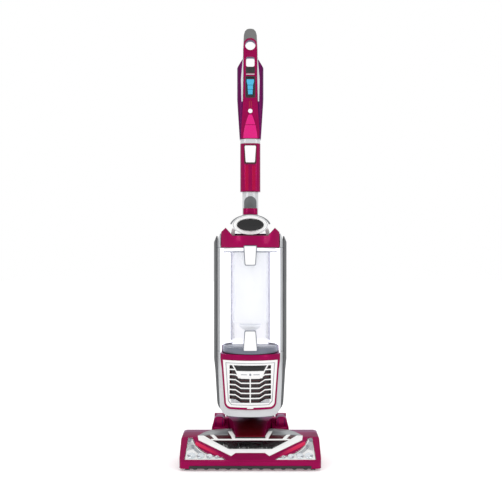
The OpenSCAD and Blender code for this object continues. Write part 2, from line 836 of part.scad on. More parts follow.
module top_latch() color("#e8eaec") cup_catch([cup_top - 46, cup_top + 6], [14.5, 17.5]);
module bottom_latch() color("#e8eaec") cup_catch([cup_z + 8, cup_z + 62], [19, 15]);

// ---- Wand and handle ----

module wand_tube() color("#c8ccd1") {
    translate([0, pivot_y, 0]) difference() {
        union() {
            translate([0, 0, foot_z + 0.2]) linear_extrude(collar_z - foot_z - 0.4) wand_outline(0);
            translate([0, 0, foot_z - 80]) cylinder(r = 15.8, h = 81);
        }
        translate([0, 0, foot_z - 80 - cut]) cylinder(r = 14.5, h = half);
    }
}

// A cover that wraps the wand tube's front, between two distances from it
module wrap(t0, t1, half_x) {
    intersection() {
        difference() {
            wand_outline(-t1);
            wand_outline(-t0);
        }
        translate([-half_x, -half]) square([2 * half_x, half]);
    }
}

module wand_foot() color("#8a0045") {
    translate([0, pivot_y, foot_z + 0.2]) linear_extrude(foot_h) wrap(0.2, 3, 19.5);
}

module wand_latch() color("#a9adb3") {
    dome_z = tube_z + 16;
    intersection() {
        translate([0, pivot_y, tube_z + 0.8]) linear_extrude(40) wrap(0.6, 4.5, 19);
        front_extrude(0, half) hull() {
            translate([0, dome_z]) circle(r = 17, $fn = 48);
            translate([-17, tube_z - 2]) square([34, 4]);
        }
    }
}

module wand_collar() color("#8a0045") {
    y0 = pivot_y - 25;
    translate([0, pivot_y, 0]) difference() {
        translate([0, 0, collar_z]) linear_extrude(collar_h) round_rect(55, 50, 18);
        translate([0, 0, collar_z - cut]) cylinder(r = 16, h = half);
        // pocket for the release button
        translate([-16, -half, ring_z - 52]) cube([32, half - 25 + 8, 48]);
    }
}

module release_button() color("#eceef0") {
    front_extrude(pivot_y - 26, pivot_y - 25 + 2) polygon([
        [-12.5, ring_z - 51], [12.5, ring_z - 51], [15.5, ring_z - 6], [-15.5, ring_z - 6]
    ]);
}

// Half-widths of the handle at their levels, bottom to top
function grip_side() = [
    [29, grip_z], [36, grip_z + 109], [36, window_z - 15], [21, window_z + 8], [19, hang_z - 12],
    [17.5, top_z - 16]
];

module grip_outline() {
    side = grip_side();
    last = len(side) - 1;
    polygon(concat(side, [for (i = [last : -1 : 0]) [-side[i][0], side[i][1]]]));
}

module grip_openings() {
    y_rod(hang_r, -half, half, 0, hang_z);
    front_extrude(-half, half) translate([0, window_z]) round_rect(23, 27, 5);
}

module handle_shell() color("#5c0a3d") {
    difference() {
        intersection() {
            front_extrude(grip_y[0], grip_y[1]) grip_outline();
            linear_extrude(2 * half) translate([0, (grip_y[0] + grip_y[1]) / 2])
                round_rect(72, grip_y[1] - grip_y[0], 14);
            side_extrude(-half, half) polygon([
                [0, grip_z], [half, grip_z], [grip_y[1] + 1, switch_z + 10], [top_y, window_z - 20],
                [top_y, top_z], [0, top_z]
            ]);
        }
        grip_openings();
        translate([0, pivot_y, grip_z - cut]) cylinder(r = 15, h = hump_z - grip_z);
        y_rod(15, pivot_y, half, 0, hump_z - 17);
        // pockets for the switch and the round button
        translate([-13, grip_y[0] - cut, switch_z - 28]) cube([26, 6 + cut, 56]);
        y_rod(6.4, grip_y[0] - cut, grip_y[0] + 5, 0, switch_z - 66);
    }
}

module fascia_outline() {
    polygon([
        [-24, grip_z], [24, grip_z], [25, grip_z + 20], [19.5, switch_z - 40], [18, switch_z + 30],
        [18.5, hang_z], [-18.5, hang_z], [-18, switch_z + 30], [-19.5, switch_z - 40], [-25, grip_z + 20]
    ]);
    translate([0, hang_z]) circle(r = 18.5);
}

module handle_fascia() color("#b0105a") {
    difference() {
        front_extrude(face_y, grip_y[0]) fascia_outline();
        grip_openings();
        translate([-12, 0, switch_z - 27]) cube([24, half, 54]);
        y_rod(6.4, 0, half, 0, switch_z - 66);
    }
}

module handle_trims() color("#c9cdd2") {
    both_sides() front_extrude(face_y + 1, grip_y[0]) polygon([
        [18.7, switch_z + 30], [20.4, switch_z - 40], [24, switch_z - 40], [25.5, switch_z + 20],
        [20.6, window_z + 8], [19.2, top_z - 20]
    ]);
    // silver ring under the handle
    translate([0, pivot_y, ring_z + 0.2]) difference() {
        linear_extrude(ring_h - 0.4) round_rect(55, 50, 18);
        translate([0, 0, -cut]) cylinder(r = 16, h = 40);
    }
}

module handle_cap() color("#6e7176") {
    intersection() {
        translate([-16, grip_y[0] - 3, top_z - 15.8]) cube([32, top_y - grip_y[0] + 3, 15.8]);
        front_extrude(0, half) translate([0, top_z - 20]) round_rect(32, 40, 8);
    }
}

module power_slider() color("#19a8c8") {
    front_extrude(face_y - 2, grip_y[0] + 5) polygon([
        [-6, switch_z - 21], [6, switch_z - 21], [7, switch_z + 4], [10, switch_z + 20],
        [-10, switch_z + 20], [-7, switch_z + 4]
    ]);
}

module handle_button() color("#e9ebee") y_rod(6, face_y - 1.5, grip_y[0] + 1.5, 0, switch_z - 66);

module hose_elbow() color("#3e3f44") {
    difference() {
        union() {
            translate([0, hose_y, cuff_z]) cylinder(r = elbow_r, h = hump_z - 17 - cuff_z);
            translate([0, hose_y, hump_z - 17]) sphere(r = elbow_r);
            y_rod(18, grip_y[1] + 0.2, hose_y, 0, hump_z - 17);
        }
        translate([0, hose_y, cuff_z - cut]) cylinder(r = hose_r + 0.2, h = 46);
        translate([0, hose_y, cuff_z]) cylinder(r = 14, h = hump_z - 17 - cuff_z);
        y_rod(14, 0, hose_y, 0, hump_z - 17);
    }
}

function spline(p, u) = let (
    i = min(floor(u), len(p) - 2), f = u - i,
    a = p[max(i - 1, 0)], b = p[i], c = p[i + 1], d = p[min(i + 2, len(p) - 1)]
) 0.5 * (2 * b + (c - a) * f + (2 * a - 5 * b + 4 * c - d) * f * f + (3 * b - a - 3 * c + d) * f * f * f);

function unit(v) = v / norm(v);

module hose() color("#4a4c52") {
    count = (len(hose_route) - 1) * hose_steps;
    line = [for (i = [0 : count]) spline(hose_route, i / hose_steps)];
    rings = [for (i = [0 : count]) let (
        along = unit(line[min(i + 1, count)] - line[max(i - 1, 0)]),
        side = unit(cross(along, [1, 0.2, 0])), up = cross(along, side)
    ) [for (k = [0 : hose_sides - 1]) let (a = 360 * k / hose_sides)
        line[i] + hose_r * (cos(a) * side + sin(a) * up)]];
    walls = [for (i = [0 : count - 1], k = [0 : hose_sides - 1]) let (
        a = i * hose_sides + k, b = i * hose_sides + (k + 1) % hose_sides
    ) [a, a + hose_sides, b + hose_sides, b]];
    ends = [
        [for (k = [0 : hose_sides - 1]) k],
        [for (k = [hose_sides - 1 : -1 : 0]) count * hose_sides + k]
    ];
    polyhedron(points = [for (r = rings, p = r) p], faces = concat(walls, ends));
}

module hose_inlet() color("#3e3f44") {
    difference() {
        union() {
            y_rod(elbow_r - 1, back_y[1] + 0.2, inlet_y, inlet_x, inlet_z);
            translate([inlet_x, inlet_y, inlet_z]) sphere(r = elbow_r);
            translate([inlet_x, inlet_y, inlet_z]) cylinder(r = elbow_r, h = 56);
        }
        y_rod(elbow_r - 5, back_y[1] - cut, inlet_y, inlet_x, inlet_z);
        translate([inlet_x, inlet_y, inlet_z]) cylinder(r = elbow_r - 5, h = 60);
        translate([inlet_x, inlet_y, inlet_z + 32]) cylinder(r = hose_r + 0.4, h = 60);
    }
}

// A cord hook: an arm behind the pod with a lip
module cord_hook(lip) {
    z = lip > 0 ? upper_hook_z : lower_hook_z;
    translate([hook_x - 8, back_y[1] + 0.3, z - 6]) cube([16, hook_arm, 12]);
    translate([hook_x - 8, back_y[1] + hook_arm - 5, lip > 0 ? z - 6 : z - 34]) cube([16, 6, 40]);
}

module cord_hook_lower() color("#3a3b40") cord_hook(-1);
module cord_hook_upper() color("#3a3b40") cord_hook(1);

module cord_gland() color("#2c2c2f") {
    difference() {
        union() {
            y_rod(lead_r + 2.8, back_y[1] - 6, back_y[1] + 1, gland_x, gland_z);
            y_rod(lead_r + 4.5, back_y[1] + 0.2, back_y[1] + 12, gland_x, gland_z);
        }
        y_rod(lead_r, back_y[1] - 5, half, gland_x, gland_z);
    }
}

// ---- The pieces ----

nozzle_base();
nozzle_cover();
trim_frame();
brush_window();
headlight_left();
headlight_right();
reflectors();
bumper_strip();
brush_chamber();
brush_motor();
drive_belt();
intake_duct();
neck_hood();
rear_carriage();
axle_pins();
sole_screws();
brush_roll();
bristles();
motor_pinion();
wheel_left();
wheel_right();
roller_left();
roller_right();
pivot_barrel();
spine_tube();
u_frame();
side_panel_left();
side_panel_right();
back_shell();
base_housing();
motor_case();
hepa_filter();
pre_motor_foam();
lid_housing();
carry_handle();
badge();
wand_tube();
wand_foot();
wand_collar();
handle_shell();
handle_fascia();
handle_trims();
handle_cap();
hose_elbow();
hose();
hose_inlet();
cord_hook_lower();
cord_gland();
fan_rotor();
grille_cover();
dust_cup();
cyclone_shroud();
cup_door();
top_latch();
bottom_latch();
power_slider();
handle_button();
release_button();
wand_latch();
cord_hook_upper();
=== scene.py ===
"""The looks of an upright vacuum cleaner, built around its CAD frame.

Metres, X to the right, the front faces -Y, +Z up, the floor is z = 0.
Sizes in the pieces' own functions are in millimetres.
"""

import json
import math
import random

import bmesh
import bpy
from mathutils import Matrix, Vector


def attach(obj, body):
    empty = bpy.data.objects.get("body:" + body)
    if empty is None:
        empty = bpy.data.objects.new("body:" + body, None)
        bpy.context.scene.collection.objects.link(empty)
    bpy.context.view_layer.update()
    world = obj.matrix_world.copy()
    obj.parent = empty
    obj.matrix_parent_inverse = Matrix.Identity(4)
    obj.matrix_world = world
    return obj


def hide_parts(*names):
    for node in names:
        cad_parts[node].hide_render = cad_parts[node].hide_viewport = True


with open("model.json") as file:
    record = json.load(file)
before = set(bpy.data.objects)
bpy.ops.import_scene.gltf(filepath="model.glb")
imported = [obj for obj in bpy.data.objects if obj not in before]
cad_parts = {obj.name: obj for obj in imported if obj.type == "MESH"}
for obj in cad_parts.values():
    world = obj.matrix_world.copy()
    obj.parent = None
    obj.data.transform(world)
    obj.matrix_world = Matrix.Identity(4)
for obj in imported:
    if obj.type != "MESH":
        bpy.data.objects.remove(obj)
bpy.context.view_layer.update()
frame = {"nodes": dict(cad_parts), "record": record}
MM = 0.001
RECORD = frame["record"]
NODE_BODY = {n: body for body, names in RECORD["behaviour"]["bodies"].items() for n in names}
random.seed(7)

# ---- Camera, lights and floor ----

CAMERA_AT = (0.0019, -2.45, 0.5505)
CAMERA_LENS = 66.05
SENSOR = 36.0


def add_camera():
    """A level camera in front of the cleaner."""
    data = bpy.data.cameras.new("camera")
    data.lens = CAMERA_LENS
    data.sensor_width = SENSOR
    camera = bpy.data.objects.new("camera", data)
    camera.location = CAMERA_AT
    camera.rotation_euler = (math.pi / 2, 0, 0)
    bpy.context.scene.collection.objects.link(camera)
    bpy.context.scene.camera = camera


def add_area_light(name, at, towards, size, watts):
    """A soft box that looks from one point towards another."""
    data = bpy.data.lights.new(name, "AREA")
    data.shape = "RECTANGLE"
    data.size, data.size_y = size
    data.energy = watts
    lamp = bpy.data.objects.new(name, data)
    lamp.location = at
    lamp.rotation_euler = (Vector(towards) - Vector(at)).to_track_quat("-Z", "Y").to_euler()
    bpy.context.scene.collection.objects.link(lamp)


def add_stage():
    """A plain pale floor, an even surround, and soft boxes at the front, the sides and the back."""
    bm = bmesh.new()
    bmesh.ops.create_grid(bm, x_segments=1, y_segments=1, size=14)
    floor_mesh = bpy.data.meshes.new("floor")
    bm.to_mesh(floor_mesh)
    bm.free()
    floor = bpy.data.objects.new("floor", floor_mesh)
    bpy.context.scene.collection.objects.link(floor)
    floor.data.materials.append(MATERIALS["floor"])
    world = bpy.data.worlds.new("surround")
    world.use_nodes = True
    background = world.node_tree.nodes["Background"].inputs
    background["Color"].default_value = (1, 1, 1, 1)
    background["Strength"].default_value = 1.0
    bpy.context.scene.world = world
    bpy.context.scene.view_settings.view_transform = "Standard"
    add_area_light("key", (-1.3, -2.0, 1.5), (0, 0, 0.5), (0.5, 1.8), 9)
    add_area_light("fill", (1.5, -1.6, 1.2), (0, 0, 0.5), (0.4, 1.8), 6)
    add_area_light("back", (0.3, 2.2, 2.0), (0, 0, 0.6), (1.4, 1.0), 8)


# ---- Materials ----


def linear(code):
    """An sRGB hex colour as linear RGBA."""
    parts = [int(code[i:i + 2], 16) / 255 for i in (1, 3, 5)]
    return [c / 12.92 if c <= 0.04045 else ((c + 0.055) / 1.055) ** 2.4 for c in parts] + [1.0]


def add(tree, kind, inputs=None, **settings):
    """Adds a node with its settings. An input is a value, or a socket to link from."""
    made = tree.nodes.new(kind)
    for key, value in settings.items():
        setattr(made, key, value)
    for key, value in (inputs or {}).items():
        if isinstance(value, bpy.types.NodeSocket):
            tree.links.new(value, made.inputs[key])
        else:
            made.inputs[key].default_value = value
    return made


def new_material(name):
    """An empty node material: its tree, its output and its object coordinates."""
    material = bpy.data.materials.new(name)
    material.use_nodes = True
    tree = material.node_tree
    tree.nodes.clear()
    output = add(tree, "ShaderNodeOutputMaterial")
    place = add(tree, "ShaderNodeTexCoord").outputs["Object"]
    return material, tree, output, place


def moulded(name, light, dark, roughness, grain_mm, depth_mm, mottle_mm=60.0, across=None, **shader):
    """A moulded or lacquered plastic: two near colours in soft patches, and a fine surface grain.

    across is (colour, from_mm, to_mm): a second colour that takes over away from the middle plane. The hood uses
    it round a painted shade in its middle, the nose's band for a painted highlight.
    """
    material, tree, output, place = new_material(name)
    mottle = add(tree, "ShaderNodeTexNoise", {"Vector": place, "Scale": 1 / (mottle_mm * MM), "Detail": 3})
    colour = add(tree, "ShaderNodeMix", {"Factor": mottle.outputs["Fac"], "A": linear(dark), "B": linear(light)},
                 data_type="RGBA").outputs["Result"]
    if across:
        parts = add(tree, "ShaderNodeSeparateXYZ", {"Vector": place})
        side = add(tree, "ShaderNodeMath", {0: parts.outputs["X"]}, operation="ABSOLUTE")
        share = add(tree, "ShaderNodeMapRange", {"Value": side.outputs["Value"], "From Min": across[1] * MM,
                                                 "From Max": across[2] * MM}, interpolation_type="SMOOTHSTEP")
        colour = add(tree, "ShaderNodeMix", {"Factor": share.outputs["Result"], "A": colour,
                                             "B": linear(across[0])}, data_type="RGBA").outputs["Result"]
    grain = add(tree, "ShaderNodeTexNoise", {"Vector": place, "Scale": 1 / (grain_mm * MM), "Detail": 2})
    bump = add(tree, "ShaderNodeBump", {"Height": grain.outputs["Fac"], "Distance": depth_mm * MM,
                                        "Strength": 1.0})
    wear = add(tree, "ShaderNodeMapRange", {"Value": mottle.outputs["Fac"], "To Min": roughness * 0.85,
                                            "To Max": roughness * 1.15})
    inputs = {"Base Color": colour, "Roughness": wear.outputs["Result"], "Normal": bump.outputs["Normal"]}
    inputs.update(shader)
    body = add(tree, "ShaderNodeBsdfPrincipled", inputs)
    tree.links.new(body.outputs["BSDF"], output.inputs["Surface"])
    return material


def glow(colour, strength):
    """A painted glow: emission that lifts a pale part towards white, and keeps the floor an even white."""
    return {"Emission Color": linear(colour), "Emission Strength": strength}


def make_clear(name, colour, edge_colour, roughness, weight, rim):
    """Thin clear plastic: it lets the light through, and shines and takes a tint at a glancing angle."""
    material, tree, output, place = new_material(name)
    scratch = add(tree, "ShaderNodeTexNoise", {"Vector": place, "Scale": 1 / (2.5 * MM), "Detail": 2})
    bump = add(tree, "ShaderNodeBump", {"Height": scratch.outputs["Fac"], "Distance": 0.004 * MM,
                                        "Strength": 1.0})
    haze = add(tree, "ShaderNodeMapRange", {"Value": scratch.outputs["Fac"], "To Min": roughness * 0.8,
                                            "To Max": roughness * 1.2})
    edge = add(tree, "ShaderNodeLayerWeight", {"Blend": 0.5, "Normal": bump.outputs["Normal"]})
    tint = add(tree, "ShaderNodeMix", {"Factor": edge.outputs["Facing"], "A": linear(colour),
                                       "B": linear(edge_colour)}, data_type="RGBA")
    gloss = add(tree, "ShaderNodeBsdfPrincipled", {
        "Base Color": tint.outputs["Result"], "Roughness": haze.outputs["Result"], "IOR": 1.58,
        "Normal": bump.outputs["Normal"]})
    through = add(tree, "ShaderNodeBsdfTransparent", {"Color": [1.0, 1.0, 1.0, 1.0]})
    share = add(tree, "ShaderNodeMapRange", {"Value": edge.outputs["Facing"], "From Min": 0.35, "To Min": weight,
                                             "To Max": rim})
    both = add(tree, "ShaderNodeMixShader", {0: share.outputs["Result"], 1: through.outputs["BSDF"],
                                             2: gloss.outputs["BSDF"]})
    tree.links.new(both.outputs["Shader"], output.inputs["Surface"])
    return material


def make_materials():
    """Every finish on the cleaner, named for what the real one is."""
    made = {}
    # Candy lacquer over silver-based ABS: deep magenta head on, purple at a glance, under a hard clear coat.
    candy = {"Metallic": 0.55, "Specular Tint": linear("#7A20C0"), "Coat Weight": 0.16, "Coat Roughness": 0.06,
             "Coat Tint": linear("#F4C8E0"), "Specular IOR Level": 0.3}
    made["candy_magenta"] = moulded("candy_lacquered_abs", "#98004A", "#84003F", 0.3, 0.9, 0.004, **candy)
    # The same lacquer over a darker base, as on the grip's sides.
    made["candy_purple"] = moulded("dark_candy_lacquered_abs", "#62044C", "#4A033E", 0.3, 0.9, 0.004, **candy)
    # The hood's lacquer with a painted shade: nearly oxblood in the middle, where the hood lies in shade, going
    # over to magenta towards the sides.
    made["candy_painted_shade"] = moulded("candy_lacquered_abs_painted_shade", "#6A0812", "#52060E", 0.34, 0.9, 0.004,
                                    across=("#900046", 26, 44),
                                    **{**candy, "Coat Weight": 0.05, "Specular IOR Level": 0.15})
    # Dark maroon gloss ABS behind slots and windows. In the nose's windows and round the collar's button it is a
    # painted shade: dark plates where the recesses lie in shade.
    made["maroon"] = moulded("maroon_gloss_abs", "#4A0614", "#30030C", 0.2, 1.0, 0.004)
    # Hot pink tinted acrylic inlay.
    made["pink_inlay"] = moulded("pink_tinted_acrylic", "#DC0C7C", "#C0046A", 0.24, 1.2, 0.003,
                                 **{"Coat Weight": 0.1, "Coat Roughness": 0.04, "Specular IOR Level": 0.25})
    # A brighter red lacquer that paints highlights: the collar's two vertical bands of light.
    made["candy_rose_painted_highlight"] = moulded("rose_candy_lacquered_abs_painted_highlight", "#AE0C3E", "#9A0638", 0.3, 0.9, 0.004, **candy)
    # The same, with a painted highlight: the band beside the nose's arrow turns brighter red towards its outer
    # end.
    made["candy_painted_highlight"] = moulded("candy_lacquered_abs_painted_highlight", "#98004A", "#900046", 0.3, 0.9, 0.004,
                                  across=("#D02850", 62, 118), **candy)
    # Red tinted acrylic light strip and stripe.
    made["red_accent"] = moulded("red_tinted_acrylic", "#A8102C", "#900C26", 0.25, 1.0, 0.003)
    # Silver paint on ABS: bright, with a soft metal sheen.
    made["silver"] = moulded("silver_painted_abs", "#CBCDCF", "#BABCBF", 0.3, 0.7, 0.003,
                             **{"Metallic": 0.3, "Coat Weight": 0.3, "Coat Roughness": 0.1})
    # Bead-blasted darker silver of the nose's upper band.
    made["satin_silver"] = moulded("satin_silver_painted_abs", "#8E9092", "#7C7E82", 0.4, 0.6, 0.006,
                                   **{"Metallic": 0.5})
    # White gloss ABS, barely warm.
    made["white"] = moulded("white_gloss_abs", "#ECECEB", "#E2E2E2", 0.24, 1.0, 0.003,
                            **{"Coat Weight": 0.3, "Coat Roughness": 0.08})
    # Blue-grey ABS of the catches' frames, the cup's foot and the shroud's lines. Round the catches' white faces,
    # the frames' dark border is also a painted shadow gap.
    made["slate"] = moulded("slate_grey_abs", "#6C7280", "#5C6270", 0.35, 0.7, 0.008)
    # Pale ABS of the inner works, with a little painted glow that keeps it near white.
    made["light_grey"] = moulded("light_grey_abs_painted_glow", "#F4F5F8", "#E8EAF0", 0.38, 0.7, 0.008,
                                  **glow("#F4F6FC", 0.16))
    # Pearl-white polycarbonate of the cup's bay, with a strong painted glow that keeps it near white, as if lit
    # through the clear cup.
    made["pearl"] = moulded("pearl_white_polycarbonate_painted_glow", "#FBFBFE", "#F2F2F8", 0.4, 0.9, 0.004,
                            **glow("#F6F6FC", 1.1))
    # Graphite ABS with a fine spark-eroded grain.
    made["graphite"] = moulded("textured_graphite_abs", "#5E6062", "#525456", 0.5, 0.8, 0.03)
    # Black ABS, satin.
    made["black"] = moulded("black_abs", "#1C1B1D", "#141315", 0.4, 0.8, 0.02)
    # Glossy black of the oval plate and the name plates.
    made["piano_black"] = moulded("piano_black_abs", "#121214", "#0A0A0B", 0.2, 1.0, 0.002,
                                  **{"Coat Weight": 0.1, "Coat Roughness": 0.04, "Specular IOR Level": 0.35})
    # Grey thermoplastic rubber, dull.
    made["grey_rubber"] = moulded("grey_tpe_rubber", "#6C6C6C", "#606060", 0.7, 0.6, 0.05)
    # Black rubber of tyres, seals and the lead's gland.
    made["black_rubber"] = moulded("black_epdm_rubber", "#2A2A2C", "#1E1E20", 0.75, 0.6, 0.05)
    # Cyan gloss ABS of the slider.
    made["cyan"] = moulded("cyan_gloss_abs", "#3CB0D4", "#2A98C2", 0.22, 1.0, 0.003, **{"Coat Weight": 0.4})
    # Vacuum-metallised lamp bowls.
    made["mirror"] = moulded("vacuum_metallised_abs", "#E2E6EA", "#D2D8DE", 0.12, 1.5, 0.004,
                             **{"Metallic": 1.0})
    # Zinc-plated steel of screws and pins.
    made["steel"] = moulded("zinc_plated_steel", "#B4B6B8", "#9EA1A4", 0.35, 0.5, 0.01, **{"Metallic": 1.0})
    # Turned brass of the motor's pinion.
    made["brass"] = moulded("turned_brass", "#C9A860", "#B79650", 0.3, 0.5, 0.01, **{"Metallic": 1.0})
    # Cast aluminium of the motor's can and rotor.
    made["aluminium"] = moulded("cast_aluminium", "#C4C6C8", "#B2B5B8", 0.42, 0.6, 0.02, **{"Metallic": 1.0})
    # Nylon bristle, dark with a dull shine, and the white tufts between, which have a painted glow.
    made["bristle"] = moulded("black_nylon_bristle", "#2A2A2E", "#1A1A1C", 0.45, 0.5, 0.05)
    made["pale_bristle"] = moulded("white_nylon_bristle_painted_glow", "#F2F2F0", "#DEDEDC", 0.45, 0.5, 0.05,
                                   **glow("#FFFFFF", 0.8))
    # Pleated glass-fibre paper and open-cell foam.
    made["paper"] = moulded("pleated_filter_paper", "#E8E4DA", "#D8D4C6", 0.85, 0.8, 0.06)
    made["foam"] = moulded("open_cell_foam", "#8A9098", "#6A7078", 0.95, 1.4, 0.6)
    # Hose: satin polypropylene.
    made["hose"] = moulded("satin_polypropylene", "#46484E", "#383A40", 0.42, 0.9, 0.02)
    # Pale studio floor, dull. The little light of its own keeps it an even white.
    made["floor"] = moulded("matte_studio_floor", "#F4F4F4", "#F2F2F2", 0.9, 3.0, 0.01, mottle_mm=400.0,
                            **glow("#FFFFFF", 0.22), **{"Specular IOR Level": 0.1})
    # Water-clear dust cup wall, the sleeve inside it, the lamp lenses and the smoked window. The sleeve's dark
    # blue-grey tint at a glancing angle is a painted shade: the two dark bands along the inner cylinder's edges.
    made["clear"] = make_clear("clear_polycarbonate", "#FFFFFF", "#E8E8F2", 0.06, 0.04, 0.12)
    made["sleeve"] = make_clear("polycarbonate_painted_edge_shade", "#F2F4FA", "#4E4C78", 0.3, 0.04, 0.85)
    made["lens"] = make_clear("clear_lens_polycarbonate", "#FFFFFF", "#D8E0E4", 0.05, 0.08, 0.5)
    made["smoked"] = make_clear("smoked_polycarbonate", "#0A080B", "#121014", 0.16, 0.4, 0.8)
    return made


MATERIALS = make_materials()

# ---- Making pieces ----

AXES = {"x": (0, (1, 2)), "y": (1, (0, 2)), "z": (2, (0, 1))}


def prism(outline, axis, low, high):
    """An outline across an axis, pushed from one level to another along it."""
    along, (first, second) = AXES[axis]
    bm = bmesh.new()
    corners = []
    for a, b in outline:
        at = [0.0, 0.0, 0.0]
        at[first], at[second], at[along] = a * MM, b * MM, low * MM
        corners.append(bm.verts.new(at))
    bm.faces.new(corners)
    grown = bmesh.ops.extrude_face_region(bm, geom=bm.faces[:])
    push = [0.0, 0.0, 0.0]
    push[along] = (high - low) * MM
    bmesh.ops.translate(bm, verts=[g for g in grown["geom"] if isinstance(g, bmesh.types.BMVert)], vec=push)
    bmesh.ops.recalc_face_normals(bm, faces=bm.faces)
    return bm


def turned(profile, axis="z", at=(0, 0, 0), steps=48):
    """A profile of (radius, height) points turned round an axis, closed where it meets the axis."""
    bm = bmesh.new()
    ring = [bm.verts.new((r * MM, 0, h * MM)) for r, h in profile]
    edges = [bm.edges.new(pair) for pair in zip(ring, ring[1:])]
    bmesh.ops.spin(bm, geom=ring + edges, cent=(0, 0, 0), axis=(0, 0, 1), angle=math.tau, steps=steps,
                   use_merge=True)
    bmesh.ops.remove_doubles(bm, verts=bm.verts, dist=0.001 * MM)
    turn = {"x": Matrix.Rotation(math.pi / 2, 4, "Y"), "y": Matrix.Rotation(-math.pi / 2, 4, "X"),
            "z": Matrix.Identity(4)}[axis]
    bmesh.ops.transform(bm, matrix=Matrix.Translation(Vector(at) * MM) @ turn, verts=bm.verts)
    bmesh.ops.recalc_face_normals(bm, faces=bm.faces)
    return bm


def turned_to_front(profile, at, steps, squash=1.0):
    """A profile of (radius, height towards the front) points turned round, and flattened into an oval."""
    bm = turned(profile, "y", steps=steps)
    bmesh.ops.scale(bm, vec=(1, 1, squash), verts=bm.verts)
    bmesh.ops.rotate(bm, cent=(0, 0, 0), matrix=Matrix.Rotation(math.pi, 3, "Z"), verts=bm.verts)
    bmesh.ops.translate(bm, vec=Vector(at) * MM, verts=bm.verts)
    return bm


def ring_profile(inner, outer, low, high, soft):
    """The closed profile of a ring with softened corners, for turned()."""
    return [(inner, low), (outer - soft, low), (outer, low + soft), (outer, high - soft), (outer - soft, high),
            (inner, high), (inner, low)]


def rounded_outline(width, height, radius, centre=(0, 0), steps=6):
    """The outline of a rectangle with round corners."""
    points = []
    for turn, (sx, sz) in enumerate(((1, 1), (-1, 1), (-1, -1), (1, -1))):
        for i in range(steps + 1):
            a = math.radians(90 * turn + 90 * i / steps)
            points.append((centre[0] + sx * (width / 2 - radius) + radius * math.cos(a),
                           centre[1] + sz * (height / 2 - radius) + radius * math.sin(a)))
    return points


def oval_outline(a, b, centre, steps=64):
    """The outline of an ellipse."""
    return [(centre[0] + a * math.cos(math.tau * i / steps), centre[1] + b * math.sin(math.tau * i / steps))
            for i in range(steps)]


def arc_points(centre, a, b, turns):
    """Points of an ellipse's arc, at angles in degrees."""
    return [(centre[0] + a * math.cos(math.radians(turn)), centre[1] + b * math.sin(math.radians(turn)))
            for turn in turns]


def mirrored(outline):
    """An outline flipped to the other side of the middle plane."""
    return [(-x, z) for x, z in reversed(outline)]


def joined(*parts):
    """Several bmeshes as one."""
    whole = bmesh.new()
    spare = bpy.data.meshes.new("spare")
    for part in parts:
        part.to_mesh(spare)
        part.free()
        whole.from_mesh(spare)
    bpy.data.meshes.remove(spare)
    return whole


def both_sides(bm):
    """A bmesh with its mirror image across the middle plane."""
    copy = bm.copy()
    bmesh.ops.scale(copy, vec=(-1, 1, 1), verts=copy.verts)
    bmesh.ops.reverse_faces(copy, faces=copy.faces)
    return joined(bm, copy)


def sliced(bm, axis, places):
    """Cuts a bmesh across an axis so that it can bend there."""
    along = AXES[axis][0]
    for place in places:
        at, normal = [0.0, 0.0, 0.0], [0.0, 0.0, 0.0]
        at[along], normal[along] = place * MM, 1.0
        bmesh.ops.bisect_plane(bm, geom=bm.verts[:] + bm.edges[:] + bm.faces[:], dist=0.001 * MM,
                               plane_co=at, plane_no=normal)
    return bm


def sharp_edges(bm, angle):
    """The edges between faces that meet at more than an angle in degrees."""
    limit = math.radians(angle)
    return [e for e in bm.edges if len(e.link_faces) == 2 and e.calc_face_angle(0) > limit]


def round_edges(bm, width, segments=3, angle=30.0):
    """Rounds every sharp edge by a width in millimetres."""
    bmesh.ops.bevel(bm, geom=sharp_edges(bm, angle), offset=width * MM, segments=segments, profile=0.5,
                    affect="EDGES", material=-1, clamp_overlap=True)
    return bm


def eased(bm, width, segments=2):
    """Rounds the edges that turn by more than 50 degrees, so that a curve's own facets stay."""
    return round_edges(bm, width, segments, 50)


def round_corners(bm, radius):
    """Rounds the corners of a front outline, where the outline's edges run along Y."""
    corners = [e for e in bm.edges if abs(e.verts[0].co.y - e.verts[1].co.y) > 2 * MM]
    bmesh.ops.bevel(bm, geom=corners, offset=radius * MM, segments=4, profile=0.5, affect="EDGES",
                    material=-1, clamp_overlap=True)
    return bm


def trimmed(bm, *planes):
    """Cuts away what lies past each plane, a (point in millimetres, direction), and closes the cuts."""
    for at, facing in planes:
        bmesh.ops.bisect_plane(bm, geom=bm.verts[:] + bm.edges[:] + bm.faces[:], dist=0.001 * MM,
                               plane_co=Vector(at) * MM, plane_no=facing, clear_outer=True)
    bmesh.ops.holes_fill(bm, edges=[e for e in bm.edges if e.is_boundary])
    return bm


def piece(bm, name, material, body, smooth=38.0, replaces=()):
    """Turns a bmesh into a piece that rides on a body, in place of CAD nodes if any are named."""
    bmesh.ops.remove_doubles(bm, verts=bm.verts, dist=0.002 * MM)
    bmesh.ops.recalc_face_normals(bm, faces=bm.faces)
    mesh = bpy.data.meshes.new(name)
    for face in bm.faces:
        face.smooth = True
    bm.to_mesh(mesh)
    bm.free()
    mesh.set_sharp_from_angle(angle=math.radians(smooth))
    mesh.materials.append(MATERIALS[material])
    made = bpy.data.objects.new(name, mesh)
    bpy.context.scene.collection.objects.link(made)
    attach(made, body)
    if replaces:
        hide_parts(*replaces)


def merged_copy(node):
    """A CAD node's mesh as a bmesh, with its triangles merged and its flat faces whole."""
    bm = bmesh.new()
    bm.from_mesh(frame["nodes"][node].data)
    bmesh.ops.remove_doubles(bm, verts=bm.verts, dist=0.01 * MM)
    bmesh.ops.recalc_face_normals(bm, faces=bm.faces)
    bmesh.ops.dissolve_limit(bm, angle_limit=math.radians(0.5), verts=bm.verts, edges=bm.edges)
    return bm


